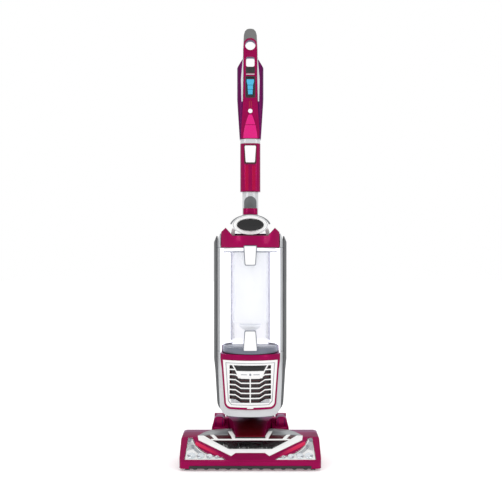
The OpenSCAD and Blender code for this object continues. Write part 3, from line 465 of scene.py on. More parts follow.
def refined(node, material, width, segments=3):
    """A CAD node's own shape with rounded edges, in place of the node."""
    bm = round_edges(merged_copy(node), width, segments)
    piece(bm, node + "_skin", material, NODE_BODY[node], replaces=(node,))


def shown(node, material):
    """A CAD node as it is, with a real finish."""
    mesh = frame["nodes"][node].data
    mesh.materials.clear()
    mesh.materials.append(MATERIALS[material])


# ---- Floor nozzle ----

# The nozzle's top in a section from front to back: (y, z)
NOSE_LINE = [(-144, 26), (-67.8, 70), (-42.8, 77), (-13, 78), (12, 70), (22, 50)]
NOSE_TILT = math.radians(30)
ON_NOSE = Matrix.Translation(Vector((0, -144, 26)) * MM) @ Matrix.Rotation(NOSE_TILT, 4, "X")


def nose_height(y):
    """Height of the nozzle's top at a depth, in metres."""
    for (y0, z0), (y1, z1) in zip(NOSE_LINE, NOSE_LINE[1:]):
        if y <= y1 * MM:
            return (z0 + (z1 - z0) * (y / MM - y0) / (y1 - y0)) * MM
    return NOSE_LINE[-1][1] * MM


def draped(plan, low, high, edge=0.5):
    """A plan outline laid over the nozzle's top, between two heights above it."""
    bm = prism(plan, "z", low, high)
    sliced(bm, "y", [y for y, _ in NOSE_LINE[1:-1]] + [-55, -28, 0])
    eased(bm, edge)
    for vert in bm.verts:
        vert.co.z += nose_height(vert.co.y)
    return bm


def draped_pair(plan, low, high, edge=0.5):
    """The same plan outline draped on both sides."""
    return [draped(plan, low, high, edge), draped(mirrored(plan), low, high, edge)]


def up_the_nose(outline, low, high, edge=0.0):
    """An outline of (across, up the slope) points, pushed out from the slope."""
    bm = prism(outline, "z", low, high)
    if edge:
        eased(bm, edge)
    bmesh.ops.transform(bm, matrix=ON_NOSE, verts=bm.verts)
    return bm


def nozzle_shell():
    """The top cover, with a soft brow where the slope meets the flat top."""
    bm = merged_copy("nozzle_cover")
    brow = [e for e in sharp_edges(bm, 5) if abs(e.verts[0].co.x - e.verts[1].co.x) > 0.25
            and e.calc_face_angle(0) < math.radians(50) and e.verts[0].co.z > 0.06]
    bmesh.ops.bevel(bm, geom=brow, offset=9 * MM, segments=6, profile=0.5, affect="EDGES", material=-1,
                    clamp_overlap=True)
    round_edges(bm, 0.9, 3, 35)
    piece(bm, "nozzle_shell", "candy_magenta", "nozzle", replaces=("nozzle_cover",))


def nose_trim():
    """The white arrow band, the satin bow that runs up over the flat top, and its windows and ribs."""
    arrow = [(-136, -66), (-133.5, -80), (-48, -131), (-37, -121), (37, -121), (48, -131), (133.5, -80),
             (136, -66), (121, -66), (100, -81), (55, -110.6), (-55, -110.6), (-100, -81), (-121, -66)]
    bar = [(-99, -80.4), (99, -80.4), (102, -77.2), (-102, -77.2)]
    rib = [(-58, -44), (-47, -44), (-35, -79), (-46, -79)]
    strut = [(-104, -62), (-95, -62), (-82, -79), (-92, -79)]
    white = [draped(arrow, 0.2, 2.6), draped(bar, 0.2, 2.2)]
    for shape in (rib, strut):
        white += draped_pair(shape, 0.4, 3.0)
    piece(joined(*white), "nose_arrow", "white", "nozzle", replaces=("trim_frame",))
    bow = [(-136, -66), (-124, -52), (-100, -27), (-84, -17), (-60, -12), (-48, -12), (-47, -44), (-57, -48),
           (-58, -60), (-112, -62), (-121, -66)]
    piece(joined(*draped_pair(bow, 0.2, 2.4)), "nose_bow", "satin_silver", "nozzle")
    # Painted shade: dark plates in the arrow's windows, where the openings lie in shade.
    shaded_window = [(-120, -66), (-58, -60), (-58, -46), (-50, -46), (-37, -78), (-98, -78)]
    piece(joined(*draped_pair(shaded_window, 0.1, 0.8, 0.2)), "nose_window_shade", "maroon", "nozzle")
    # A painted highlight: a strip beside each arm of the arrow, brighter towards its outer end.
    highlight_outline = [(-140, -84), (-133, -88), (-66, -129), (-60, -134), (-74, -134), (-141, -95)]
    piece(joined(*draped_pair(highlight_outline, 0.1, 1.0, 0.3)), "nose_painted_highlights", "candy_painted_highlight", "nozzle")
    chin = [(-43, -80), (-41, -74), (41, -74), (43, -80)]
    piece(draped(chin, 0.3, 3.4), "hood_chin", "white", "nozzle")
    edge = [(-39, -77.4), (39, -77.4), (39, -74), (-39, -74)]
    piece(draped(edge, 3.2, 6.2, 0.3), "hood_lip", "black", "nozzle")


def headlights():
    """Each lamp's white bed with four metallised bowls and louvre ribs, under its clear lens."""
    scoop, scoop_r = (-62, 100), 89
    curve = arc_points(scoop, scoop_r, scoop_r, range(192, 266, 8))
    bed = [(-164, 4.5), (-159.6, 83), (-150, 83)] + curve + [(-65, 5)]
    beds, bowls, ribs = [up_the_nose(bed, -4.2, -2.2, 0.3)], [], []
    for across, radius in ((-148, 9.5), (-125.5, 8.5), (-103, 7), (-84, 4.2)):
        seat = ON_NOSE @ Matrix.Translation(Vector((across, 8.5 + radius, 0)) * MM)
        dish = turned([(0, -1.9), (radius * 0.45, -1.6), (radius * 0.8, -0.7), (radius, 0.4),
                       (radius + 0.8, 0.5), (radius + 0.8, -2.1), (0, -2.1)], steps=32)
        bmesh.ops.transform(dish, matrix=seat, verts=dish.verts)
        bowls.append(dish)
        bulb = turned([(0, 0.3), (radius * 0.14, 0.1), (radius * 0.18, -1.7), (0, -1.7)], steps=16)
        bmesh.ops.transform(bulb, matrix=seat, verts=bulb.verts)
        beds.append(bulb)
    for i in range(6):
        x = -159.5 + 2.9 * i
        foot = 38 + 1.2 * i
        top = 80 - 3.6 * i if i < 3 else 69 - 5 * (i - 3)
        ribs.append(up_the_nose([(x, foot), (x + 1.1, foot), (x + 1.7, top), (x + 0.6, top)], -2.4, -1.4))
    ribs.append(up_the_nose([(-161, 72), (-152, 72), (-151, 81), (-160.5, 81)], -2.4, -1.0))
    for i in range(3):
        radius = scoop_r + 4 + 3 * i
        arc = arc_points(scoop, radius, radius, range(206, 240, 6))
        back = [(x - 0.9, z - 0.7) for x, z in reversed(arc)]
        ribs.append(up_the_nose(arc + back, -2.4, -1.4))
    piece(both_sides(joined(*beds)), "lamp_beds", "white", "nozzle")
    piece(both_sides(joined(*bowls)), "lamp_bowls", "mirror", "nozzle", replaces=("reflectors",))
    piece(both_sides(joined(*ribs)), "lamp_ribs", "slate", "nozzle")
    for side in ("left", "right"):
        refined("headlight_" + side, "lens", 0.5)


def front_bumper():
    """The dark rubber lip along the front edge, with its row of scallops pointing down."""
    bumps = [prism(rounded_outline(306, 6.4, 2, (0, 9.8)), "y", -150, -148.1)]
    for i in range(-5, 6):
        scallop = arc_points((27.6 * i, 7.4), 6.5, 3.4, range(180, 361, 20))
        bumps.append(prism(scallop, "y", -149.6, -148.1))
    for bm in bumps:
        round_edges(bm, 0.3, 2, 40)
    piece(joined(*bumps), "bumper_lip", "black_rubber", "nozzle", replaces=("bumper_strip",))


def brush():
    """The roll with its two spiral rows of white tufts between the black strips."""
    refined("brush_roll", "black", 0.6)
    shown("bristles", "bristle")
    tufts, half, count = [], 138, 34
    for row in range(2):
        for i in range(count):
            along = -half + 2 * half * (i + 0.5) / count
            turn = math.radians(row * 180 + 20 + 70 * abs(along) / half)
            tuft = bmesh.new()
            bmesh.ops.create_cone(tuft, cap_ends=True, segments=6, radius1=1.5 * MM, radius2=2.1 * MM,
                                  depth=6.6 * MM)
            lean = Matrix.Rotation(random.uniform(-0.12, 0.12), 4, "Y")
            root = Matrix.Translation(Vector((along, -90, 24)) * MM) @ Matrix.Rotation(turn, 4, "X")
            bmesh.ops.transform(tuft, verts=tuft.verts,
                                matrix=root @ lean @ Matrix.Translation((0, 0, 18.2 * MM)))
            tufts.append(tuft)
    piece(joined(*tufts), "brush_tufts", "pale_bristle", "brush")


def window_tufts():
    """White comb teeth behind the smoked window, that strip hair from the brush."""
    teeth, missing = [], (-11, -9, -8, -2, 3, 10, 12)
    for i in range(-15, 16):
        x = 4.6 * i + random.uniform(-0.6, 0.6)
        tall = random.uniform(5, 13)
        if i in missing:
            continue
        low = 42 + max(0, abs(x) - 50) * 0.7
        tooth = [(x - 0.9, low), (x + 0.9, low), (x + 0.6, low + tall), (x - 0.6, low + tall)]
        teeth.append(up_the_nose(tooth, -5.6, -4.2))
    piece(joined(*teeth), "window_comb", "pale_bristle", "nozzle")
    refined("brush_window", "smoked", 0.4)


def duct_baffle():
    """The dark bend inside the intake duct, where it turns up into the neck."""
    bend = [(20, 16.4), (60, 16.4), (60, 51.4), (56, 51.4), (50, 34), (34, 22), (20, 19)]
    piece(eased(prism(bend, "x", -30.6, 30.6), 0.6), "duct_bend", "black", "nozzle")


def sole_details():
    """What is under the nozzle: two lint strips behind the mouth, and the plate's shallow runners."""
    strips = [eased(prism(rounded_outline(92, 5, 2, (x, -49)), "z", 4.9, 6.2), 0.4)
              for x in (-62, 62)]
    piece(joined(*strips), "lint_strips", "red_accent", "nozzle")
    runners = [eased(prism(rounded_outline(3, 44, 1.4, (x, -12)), "z", 5.0, 6.2), 0.4)
               for x in range(-140, 141, 35)]
    piece(joined(*runners), "sole_runners", "candy_purple", "nozzle")


# ---- Rolling gear ----


def round_the_hub(outline, low, high, count, hub_at):
    """Copies of a bar set round a wheel's axis, between two radii."""
    bars = []
    for i in range(count):
        bar = prism(outline, "z", low, high)
        turn = Matrix.Rotation(math.tau * i / count, 4, "X") @ Matrix.Rotation(math.pi / 2, 4, "Z")
        bmesh.ops.transform(bar, verts=bar.verts, matrix=Matrix.Translation(Vector(hub_at) * MM) @ turn)
        bars.append(bar)
    return bars


def wheel(side):
    """A rear wheel: a ribbed tyre on a hub with six spokes."""
    name, body = "wheel_" + side, side + "_wheel"
    hub_at = (-112 if side == "left" else 112, 112, 25)
    tyre = turned(ring_profile(19, 24.6, -11, 11, 1.6), "x", hub_at, 72)
    ribs = round_the_hub(rounded_outline(1.6, 18, 0.4), 23.9, 25, 48, hub_at)
    piece(joined(tyre, *ribs), name + "_tyre", "black_rubber", body, replaces=(name,))
    hub = [turned(ring_profile(17.5, 19.2, -10.5, 10.5, 0.5), "x", hub_at, 72),
           turned(ring_profile(6.3, 11, -10.5, 10.5, 0.8), "x", hub_at, 48)]
    hub += round_the_hub(rounded_outline(3.4, 12, 1.2), 10.5, 18, 6, hub_at)
    piece(joined(*hub), name + "_hub", "graphite", body)


def carriage():
    """The swivel carriage behind the nozzle, its hood and tower covers."""
    refined("rear_carriage", "candy_magenta", 2.5, 4)
    # The hood's dark middle is a painted shade.
    refined("neck_hood", "candy_painted_shade", 2.0, 4)
    pivot_at = (0, 85, 80)
    caps = [turned([(0, 98), (10, 98.6), (14, 98.4), (15, 97.4), (15, 96)], "x", pivot_at, 48),
            turned([(0, 69), (0, 68.4), (14, 68.4), (15, 69)], "x", pivot_at, 48)]
    piece(both_sides(joined(*caps)), "tower_caps", "candy_purple", "nozzle")
    tower = [(69, 46), (69, 94), (70.5, 100), (75, 104.2), (79, 105), (88, 105), (92.5, 104), (97, 99.5),
             (98.8, 94), (99, 90), (103.5, 76), (104.5, 60), (104.5, 46)]
    cover = prism(tower, "y", 26, 72)
    piece(both_sides(round_edges(cover, 2.2, 4, 30)), "tower_covers", "candy_magenta", "nozzle")
    grooves = [prism(rounded_outline(2.2, 20, 1, (x, 90)), "y", 25.4, 27) for x in (74.5, 92.5)]
    piece(both_sides(joined(*grooves)), "tower_grooves", "candy_purple", "nozzle")
    crosshead_screws([(x, 110.6, 52) for x in (-84, 84)], 2.6, "tower_screws", "nozzle")


def crosshead_screws(places, radius, name, body):
    """Pan-head screws with a raised cross, facing the back."""
    heads = []
    for at in places:
        head = turned([(0, 0.9), (radius * 0.6, 0.85), (radius, 0.3), (radius, 0), (0, 0)], "y", at, 24)
        arms = [prism(rounded_outline(radius * 1.1, radius * 0.28, 0.1), "z", 0.7, 1.0),
                prism(rounded_outline(radius * 0.28, radius * 1.1, 0.1), "z", 0.7, 1.0)]
        place = Matrix.Translation(Vector(at) * MM) @ Matrix.Rotation(-math.pi / 2, 4, "X")
        for arm in arms:
            bmesh.ops.transform(arm, verts=arm.verts, matrix=place)
        heads += [head] + arms
    piece(joined(*heads), name, "steel", body)


# ---- Pod ----

# Depth of the axis that the pod's front and its door are round about
ARC_CENTRE = 30.0
# Radii about that axis: the door's outer face, and the face of the filter behind it
DOOR_R = 113.8
FILTER_R = 107.4


def on_arc(outline, inner, outer, edge=0.5, step=6):
    """A front outline wrapped round an upright arc, between two radii."""
    bm = prism(outline, "y", inner, outer)
    reach = max(abs(x) for x, _ in outline)
    sliced(bm, "x", [step * i for i in range(-int(reach / step), int(reach / step) + 1)])
    if edge:
        eased(bm, edge)
    for vert in bm.verts:
        vert.co.y = ARC_CENTRE * MM - math.sqrt(max(vert.co.y ** 2 - vert.co.x ** 2, 0))
    return bm


def grille():
    """The filter door: the louvred cover, its inner step, the two plates, and the lattice behind."""
    refined("grille_cover", "white", 0.7)
    black_plate = [(-43, 256), (43, 256), (35, 242), (-35, 242)]
    shield = [(-37, 241), (37, 241), (29, 228), (25, 225), (-25, 225), (-29, 228)]
    piece(on_arc(black_plate, DOOR_R, DOOR_R + 1.6, 0.4), "grille_top_plate", "piano_black", "filter_door")
    piece(on_arc(shield, DOOR_R, DOOR_R + 1.4, 0.4), "grille_shield", "white", "filter_door")
    mark = [(0, 236), (3.2, 232.5), (0, 229), (-3.2, 232.5)]
    dashes = [on_arc([(s * 8, 233.2), (s * 24, 233.2), (s * 24, 231.8), (s * 8, 231.8)], DOOR_R + 1.2,
                     DOOR_R + 1.8, 0) for s in (-1, 1)]
    piece(joined(on_arc(mark, DOOR_R + 1.2, DOOR_R + 1.9, 0.1, step=3), *dashes), "grille_mark", "slate",
          "filter_door")
    wedges = []
    for i in range(3):
        z = 160 + 3.1 * i
        wedge = [(24 + 5 * i, z), (50, z), (50, z + 1.4), (25 + 5 * i, z + 1.4)]
        wedges.append(on_arc(wedge, DOOR_R + 0.1, DOOR_R + 1.2, 0))
    piece(both_sides(joined(*wedges)), "grille_wedges", "slate", "filter_door")
    diamonds = [on_arc([(0, z + 3), (2.2, z), (0, z - 3), (-2.2, z)], DOOR_R - 0.2, DOOR_R + 1.4, 0, step=2)
                for z in (178.5, 191.5, 204.5)]
    piece(joined(*diamonds), "grille_diamonds", "white", "filter_door")
    back = [(-57, 156), (57, 156), (60, 254), (-60, 254)]
    piece(on_arc(back, FILTER_R - 1.2, FILTER_R + 0.2, 0.3), "filter_lattice", "black", "upright")
    bars = [on_arc([(x, 158), (x + 1.4, 158), (x + 1.4, 252), (x, 252)], FILTER_R, FILTER_R + 1.2, 0) for x in
            range(-52, 53, 8)]
    bars += [on_arc([(-56, z), (56, z), (56, z + 1.4), (-56, z + 1.4)], FILTER_R, FILTER_R + 1.2, 0) for z in
             range(162, 250, 9)]
    piece(joined(*bars), "filter_bars", "maroon", "upright")
    line = [(-49, 153.6), (49, 153.6), (57.5, 163), (64, 262), (-64, 262), (-57.5, 163)]
    inner = [(x * 0.975, z + (1.2 if z < 200 else -1.2)) for x, z in line]
    ends = list(zip(line, inner))
    rim = [on_arc([a, b, b_in, a_in], DOOR_R + 0.1, DOOR_R + 1, 0)
           for (a, a_in), (b, b_in) in zip(ends, ends[1:] + ends[:1])]
    piece(joined(*rim), "grille_rim", "satin_silver", "filter_door")


# Where the cup's own axis stands
CUP_AT = (0, -7, 0)


def cup():
    """The dust cup: its wall, foot, inner sleeve and cone, seals and catches."""
    refined("dust_cup", "clear", 0.4)
    refined("cup_door", "slate", 1.2)
    # The shroud and the cone have a little painted glow.
    refined("cyclone_shroud", "light_grey", 1.0)
    # The sleeve's dark edge tint paints the shade along the inner cylinder's edges.
    sleeve = turned([(51.5, 316), (52.5, 316), (52.5, 549), (51.5, 549), (51.5, 316)], "z", CUP_AT, 96)
    piece(sleeve, "cup_sleeve", "sleeve", "cup")
    cone = turned([(0, 300), (16, 300), (15, 340), (30, 352), (30, 356), (0, 356)], "z", CUP_AT, 64)
    piece(cone, "cup_cone", "light_grey", "cup")
    seals = [turned([(70.4, z), (72.6, z + 0.6), (72.6, z + 2), (70.4, z + 2.6), (70.4, z)], "z", CUP_AT, 128)
             for z in (300.4, 547)]
    piece(joined(*[trimmed(seal, ((0, 45, 0), (0, 1, 0))) for seal in seals]), "cup_seals", "slate", "cup")
    for name, body, low, high, foot, head in (("top_latch", "cup_top_catch", 513, 565, 14.5, 17.5),
                                              ("bottom_latch", "cup_door_catch", 292, 346, 19, 15)):
        face = prism([(-foot + 2, low + 2), (foot - 2, low + 2), (head - 2, high - 2), (-head + 2, high - 2)],
                     "y", -86, -83)
        piece(eased(round_corners(face, 2.5), 0.8), name + "_face", "white", body)
        # The frame reaches past the white face, and its dark border paints the shadow gap round the catch.
        base = prism([(-foot, low), (foot, low), (head, high), (-head, high)], "y", -83.6, -80.6)
        piece(eased(round_corners(base, 3.5), 0.5), name + "_frame", "slate", body, replaces=(name,))


def bay():
    """The pale liner and cheeks of the cup's bay, the rails' thin lines, and the side panels' flutes."""
    wall = turned([(73.25, 301), (73.95, 301), (73.95, 558), (73.25, 558), (73.25, 301)], "z", CUP_AT, 96)
    trimmed(wall, ((0, -5, 0), (0, -1, 0)), ((0, 46.5, 0), (0, 1, 0)))
    back = eased(prism(rounded_outline(108, 272, 3, (0, 422)), "y", 48.3, 48.9), 0.2)
    # The liner and the cheeks glow with a painted light, so that the bay shows near white through the cup.
    piece(joined(wall, back), "bay_liner", "pearl", "upright")
    cheek = prism([(75.7, -40.6), (78.3, -40.6), (78.3, 19.5), (75.7, 19.5)], "z", 285, 558.6)
    piece(both_sides(eased(cheek, 0.5)), "bay_cheeks", "pearl", "upright")
    seams = [on_arc([(78.2, z), (87.6, z), (87.6, z + 0.9), (78.2, z + 0.9)], 105.4, 106.3, 0, step=2)
             for z in (559.6, 287.6)]
    flute = on_arc([(78.1, 290), (79.1, 290), (79.1, 557), (78.1, 557)], 105.4, 106.4, 0, step=2)
    piece(both_sides(joined(*seams, flute)), "rail_seams", "slate", "upright")
    flutes = [prism(rounded_outline(2.4, 250, 1.1, (y, 430)), "x", 94.2, 95.5) for y in (-14, 2, 18)]
    flutes.append(prism(rounded_outline(58, 1.2, 0.5, (6, 288)), "x", 94.4, 95.3))
    piece(both_sides(joined(*flutes)), "side_flutes", "black", "upright")


def shells():
    """The pod's casings."""
    refined("u_frame", "silver", 2.5, 4)
    for side in ("left", "right"):
        refined("side_panel_" + side, "graphite", 2.4, 4)
    refined("back_shell", "candy_purple", 3.0, 4)
    refined("base_housing", "candy_magenta", 1.5)
    refined("lid_housing", "candy_magenta", 1.2)
    refined("spine_tube", "silver", 1.0)
    refined("carry_handle", "white", 2.2, 4)
    notch = [(-63.5, 610.6), (-46.2, 591.2), (46.2, 591.2), (63.5, 610.6)]
    thick = 1.3
    lines = [on_arc([a, b, (b[0], b[1] - thick), (a[0], a[1] - thick)], 109.8, 110.6, 0)
             for a, b in zip(notch, notch[1:])]
    piece(joined(*lines), "notch_line", "maroon", "upright")


def arch_shade_band():
    """The satin band along the carry arch's front edge, that shows above the oval: a darker band that paints the
    grey shade along the arch.
    """
    centre = (0, 616)
    outer = arc_points(centre, 54, 31, range(10, 171, 5))
    inner = arc_points(centre, 49.5, 27.6, range(170, 9, -5))
    band = eased(prism(outer + inner, "y", -27, -21), 0.8, 3)
    piece(band, "arch_shade_band", "satin_silver", "upright")


def badge_oval():
    """The blank black oval with its white rim and the fine grey line round it."""
    badge_z = 618
    face = eased(prism(oval_outline(34, 15, (0, badge_z)), "y", -76.4, -70.5), 1.0, 3)
    piece(face, "badge_face", "piano_black", "upright", replaces=("badge",))
    rim = turned_to_front([(34.2, -1), (36.2, 0.6), (38, 0), (38, -2), (34.2, -2), (34.2, -1)],
                          (0, -73, badge_z), 72, 17.6 / 38)
    piece(rim, "badge_rim", "white", "upright")
    line = turned_to_front([(43.4, -0.5), (44.4, 0.3), (44.4, -0.8), (43.4, -0.8), (43.4, -0.5)],
                           (0, -70.4, badge_z), 72, 23 / 44)
    piece(trimmed(line, ((0, 0, 599), (0, 0, -1))), "badge_line", "slate", "upright")


# Depth of the pod's back
BACK_Y = 56


def on_back(outline, low, high):
    """An outline at the pod's back, between two depths from it. Plus is outwards."""
    return prism(outline, "y", BACK_Y + low, BACK_Y + high)


def pod_back():
    """The back: vent slots over the motor, screws and the parting line."""
    slots = [on_back(rounded_outline(70, 3, 1.5, (-18, z)), -0.6, 0.5) for z in range(196, 262, 9)]
    slots += [on_back(rounded_outline(36, 2.4, 1.2, (-50, z)), -0.6, 0.5) for z in range(392, 452, 8)]
    piece(joined(*slots), "back_vents", "black", "upright")
    panel = [on_back(rounded_outline(128, 1.0, 0.4, (0, z)), -0.5, 0.4) for z in (282, 566)]
    panel += [on_back(rounded_outline(1.0, 284, 0.4, (x, 424)), -0.5, 0.4) for x in (-66, 66)]
    piece(joined(*panel), "back_parting", "black", "upright")
    places = [(x, BACK_Y, z) for x in (-60, 60) for z in (150, 300, 548)]
    crosshead_screws(places, 3.4, "back_screws", "upright")


# ---- Wand and handle ----

# Depth of the handle's front face
FACE_Y = 58


def on_handle(outline, low, high):
    """An outline at the handle's front face, between two depths from it. Minus is outwards."""
    return prism(outline, "y", FACE_Y + low, FACE_Y + high)


def wand():
    """The wand tube with its foot, dome latch and the collar with its release button."""
    refined("wand_tube", "silver", 0.6)
    refined("wand_foot", "candy_magenta", 0.6)
    refined("wand_latch", "graphite", 1.0)
    ribs = [on_handle(rounded_outline(20 - 2 * i, 1.0, 0.4, (0, 672 + 3.2 * i)), 1.7, 2.9) for i in range(5)]
    piece(joined(*ribs), "latch_ribs", "grey_rubber", "wand_catch")
    refined("wand_collar", "candy_magenta", 2.2, 4)
    button = on_handle([(-12.6, 792), (12.6, 792), (15.6, 838), (-15.6, 838)], 0.8, 4)
    piece(eased(round_corners(button, 3), 0.8, 3), "release_face", "white", "wand_button",
          replaces=("release_button",))
    # A painted shade: a dark plate where the button's recess lies in shade.
    recess = [(-14.6, 787.5), (14.6, 787.5), (16.8, 790), (17.4, 840.5), (-17.4, 840.5), (-16.8, 790)]
    piece(on_handle(recess, 1.6, 2.3), "release_shadow", "maroon", "upright")
    # Two painted highlights: vertical bands of brighter red on the collar's face.
    strips = [eased(on_handle(rounded_outline(9, 68, 2.4, (x, 750)), 1.3, 2.4), 0.4) for x in (-9.5, 9.5)]
    piece(joined(*strips), "collar_painted_highlights", "candy_rose_painted_highlight", "upright")


def grip():
    """The handle: two purple halves, the magenta face, silver side trims and the rubber cap."""
    refined("handle_shell", "candy_purple", 6.0, 5)
    refined("handle_fascia", "candy_magenta", 0.9)
    refined("handle_trims", "silver", 0.7)
    cap = prism([(-17.6, 1114), (17.6, 1114), (17, 1141), (14.6, 1149), (9, 1154.6), (3, 1156), (-3, 1156),
                 (-9, 1154.6), (-14.6, 1149), (-17, 1141)], "y", 58.6, 84)
    hang_z, ring_r = 1112, 17.6
    cut_away(cap, prism(oval_outline(ring_r, ring_r, (0, hang_z), 48), "y", 40, 120))
    piece(eased(cap, 1.6, 3), "cap_rubber", "grey_rubber", "upright", replaces=("handle_cap",))
    ring = turned_to_front([(14.1, -0.8), (15.2, 0.2), (17.0, 0.2), (ring_r, -0.8), (ring_r, -3), (14.1, -3),
                            (14.1, -0.8)], (0, FACE_Y - 0.2, hang_z), 64)
    piece(ring, "hang_ring", "candy_magenta", "upright")
    block = [on_handle(rounded_outline(25, 17, 2, (0, 1043.5)), -0.7, 0.4)]
    block += [on_handle(rounded_outline(22, 1.6, 0.6, (0, 1038.5 + 3.3 * i)), -1.3, -0.4) for i in range(4)]
    piece(joined(*[eased(bm, 0.3) for bm in block]), "grip_ribs", "black", "upright")
    piece(on_handle(rounded_outline(23, 2.2, 0.9, (0, 1032)), -0.6, 0.4), "grip_line", "silver", "upright")
    switch_at = (0, 997.4)
    bezel = on_handle(rounded_outline(27, 59, 3, switch_at), -0.7, 0.8)
    cut_away(bezel, prism(rounded_outline(21.5, 53.6, 2, switch_at), "y", 50, 60))
    piece(eased(bezel, 0.4), "switch_bezel", "black", "upright")
    piece(on_handle(rounded_outline(22.5, 52, 2, (0, 998)), 3.2, 4.3), "switch_floor", "black", "upright")
    steps = [[(-6, 977), (6, 977), (6.8, 990), (-6.8, 990)],
             [(-7.2, 990.6), (7.2, 990.6), (7.6, 1002), (-7.6, 1002)],
             [(-7.8, 1002.6), (7.8, 1002.6), (10, 1012), (10, 1018), (-10, 1018), (-10, 1012)]]
    treads = [eased(on_handle(outline, 0.6 * (i % 2) - 2, 2.8), 0.8, 3) for i, outline in enumerate(steps)]
    piece(joined(*treads), "slider_thumb", "cyan", "slider", replaces=("power_slider",))
    stripes = [on_handle(rounded_outline(1.6, 20, 0.7, (x, 950)), -0.5, 0.3) for x in (-2.6, 2.6)]
    stripes.append(on_handle(rounded_outline(6.8, 1.6, 0.6, (0, 959)), -0.5, 0.3))
    piece(joined(*stripes), "grip_stripes", "red_accent", "upright")
    knob = turned_to_front([(0, 1.6), (4, 1.5), (5.8, 0.8), (6, 0), (6, -5), (0, -5)], (0, FACE_Y, 932), 40)
    piece(knob, "round_knob", "white", "round_button", replaces=("handle_button",))
    inlays = [[(-19.5, 858), (19.5, 858), (18.2, 872), (14, 893.6), (-14, 893.6), (-18.2, 872)],
              [(-13.6, 895), (13.6, 895), (9, 910), (4.4, 922), (-4.4, 922), (-9, 910)]]
    panels = [eased(on_handle(outline, -0.8, 0.3), 0.4) for outline in inlays]
    piece(joined(*panels), "grip_inlay", "pink_inlay", "upright")


def cut_away(bm, tool):
    """Cuts one bmesh's shape out of another, through a modifier that is applied at once."""
    made = []
    for source in (bm, tool):
        mesh = bpy.data.meshes.new("cut")
        source.to_mesh(mesh)
        shape = bpy.data.objects.new("cut", mesh)
        bpy.context.scene.collection.objects.link(shape)
        made.append(shape)
    tool.free()
    cut = made[0].modifiers.new("cut", "BOOLEAN")
    cut.operation = "DIFFERENCE"
    cut.solver = "EXACT"
    cut.object = made[1]
    result = made[0].evaluated_get(bpy.context.evaluated_depsgraph_get()).to_mesh()
    bm.clear()
    bm.from_mesh(result)
    for shape in made:
        bpy.data.objects.remove(shape)


# ---- Hose ----

# The CAD hose's own route, in millimetres
HOSE_ROUTE = [(0, 129, 895), (0, 129, 850), (0, 129, 800), (0, 129, 750), (0, 129, 700), (2, 129, 655),
              (8, 127, 610), (18, 125, 565), (30, 122, 520), (42, 118, 475), (52, 114, 430), (58, 112, 385),
              (60, 111, 340), (60, 111, 300), (60, 111, 262)]


def route_point(u):
    """A point of the hose's smooth middle line; whole numbers of u are the route's own points."""
    i = min(int(u), len(HOSE_ROUTE) - 2)
    f = u - i
    a, b, c, d = (Vector(HOSE_ROUTE[max(0, min(k, len(HOSE_ROUTE) - 1))]) for k in (i - 1, i, i + 1, i + 2))
    return 0.5 * (2 * b + (c - a) * f + (2 * a - 5 * b + 4 * c - d) * f * f
                  + (3 * b - a - 3 * c + d) * f * f * f) * MM


# One corrugation of the hose: its length, and the radii that it swells and narrows through
RIDGE_PITCH = 4.5
RIDGE_RADII = (17.3, 16.9, 14.9, 16.9)


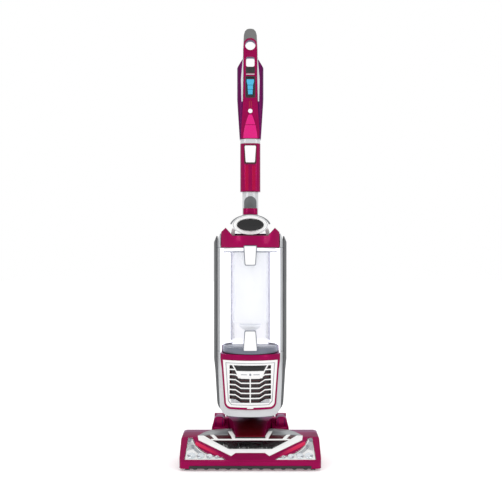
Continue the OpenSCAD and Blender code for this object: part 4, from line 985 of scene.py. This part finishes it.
def hose_bellows():
    """The corrugated hose: circles along its route, bridged."""
    last, fine_steps, look = len(HOSE_ROUTE) - 1, 1400, 4
    fine = [route_point(last * i / fine_steps) for i in range(fine_steps + 1)]
    run = [0.0]
    for a, b in zip(fine, fine[1:]):
        run.append(run[-1] + (b - a).length)
    bm = bmesh.new()
    count = int(run[-1] / (RIDGE_PITCH * MM)) * len(RIDGE_RADII)
    rings, k = [], 0
    for i in range(count + 1):
        want = run[-1] * i / count
        while k < fine_steps - 1 and run[k + 1] < want:
            k += 1
        along = (fine[min(k + look, fine_steps)] - fine[max(k - look, 0)]).normalized()
        turn = along.to_track_quat("Z", "Y").to_matrix().to_4x4()
        ring = bmesh.ops.create_circle(bm, cap_ends=False, segments=28,
                                       radius=RIDGE_RADII[i % len(RIDGE_RADII)] * MM,
                                       matrix=Matrix.Translation(fine[k]) @ turn)["verts"]
        rings.append(list({e for v in ring for e in v.link_edges}))
    for low, high in zip(rings, rings[1:]):
        bmesh.ops.bridge_loops(bm, edges=low + high)
    for end in (rings[0], rings[-1]):
        bmesh.ops.holes_fill(bm, edges=end)
    piece(bm, "hose_bellows", "hose", "upright", 60, replaces=("hose",))


def hose_fittings():
    """The elbow at the top, the inlet at the bottom, and ribbed cuffs where the hose goes in."""
    refined("hose_elbow", "graphite", 1.6, 4)
    refined("hose_inlet", "graphite", 1.6, 4)
    for name, at, levels in (("top_cuff", (0, 129, 0), (872, 879, 886)),
                             ("bottom_cuff", (60, 111, 0), (252, 258))):
        cuffs = [turned(ring_profile(18, 20.9, z, z + 3, 0.7), "z", at, 48) for z in levels]
        piece(joined(*cuffs), name, "black_rubber", "upright")


def fittings():
    """Plain moulded and metal parts that keep their CAD shape, the first ones with softened edges."""
    for finish, parts in {
        "graphite": [("pivot_barrel", 1.0), ("cord_hook_lower", 2.0), ("cord_hook_upper", 2.0)],
        "black": [("intake_duct", 0.5), ("brush_motor", 0.6)],
        "black_rubber": [("cord_gland", 0.8), ("roller_left", 0.8), ("roller_right", 0.8)],
        "steel": [("axle_pins", 0.3), ("sole_screws", 0.2)],
        "candy_magenta": [("nozzle_base", 0.8)],
    }.items():
        for node, width in parts:
            refined(node, finish, width)
    for node, finish in {
        "brush_chamber": "black", "drive_belt": "black_rubber", "motor_pinion": "brass", "motor_case": "aluminium",
        "hepa_filter": "paper", "pre_motor_foam": "foam", "fan_rotor": "aluminium",
    }.items():
        shown(node, finish)


add_camera()
add_stage()
nozzle_shell()
nose_trim()
headlights()
front_bumper()
brush()
window_tufts()
duct_baffle()
sole_details()
wheel("left")
wheel("right")
carriage()
shells()
grille()
cup()
bay()
badge_oval()
arch_shade_band()
pod_back()
wand()
grip()
hose_bellows()
hose_fittings()
fittings()
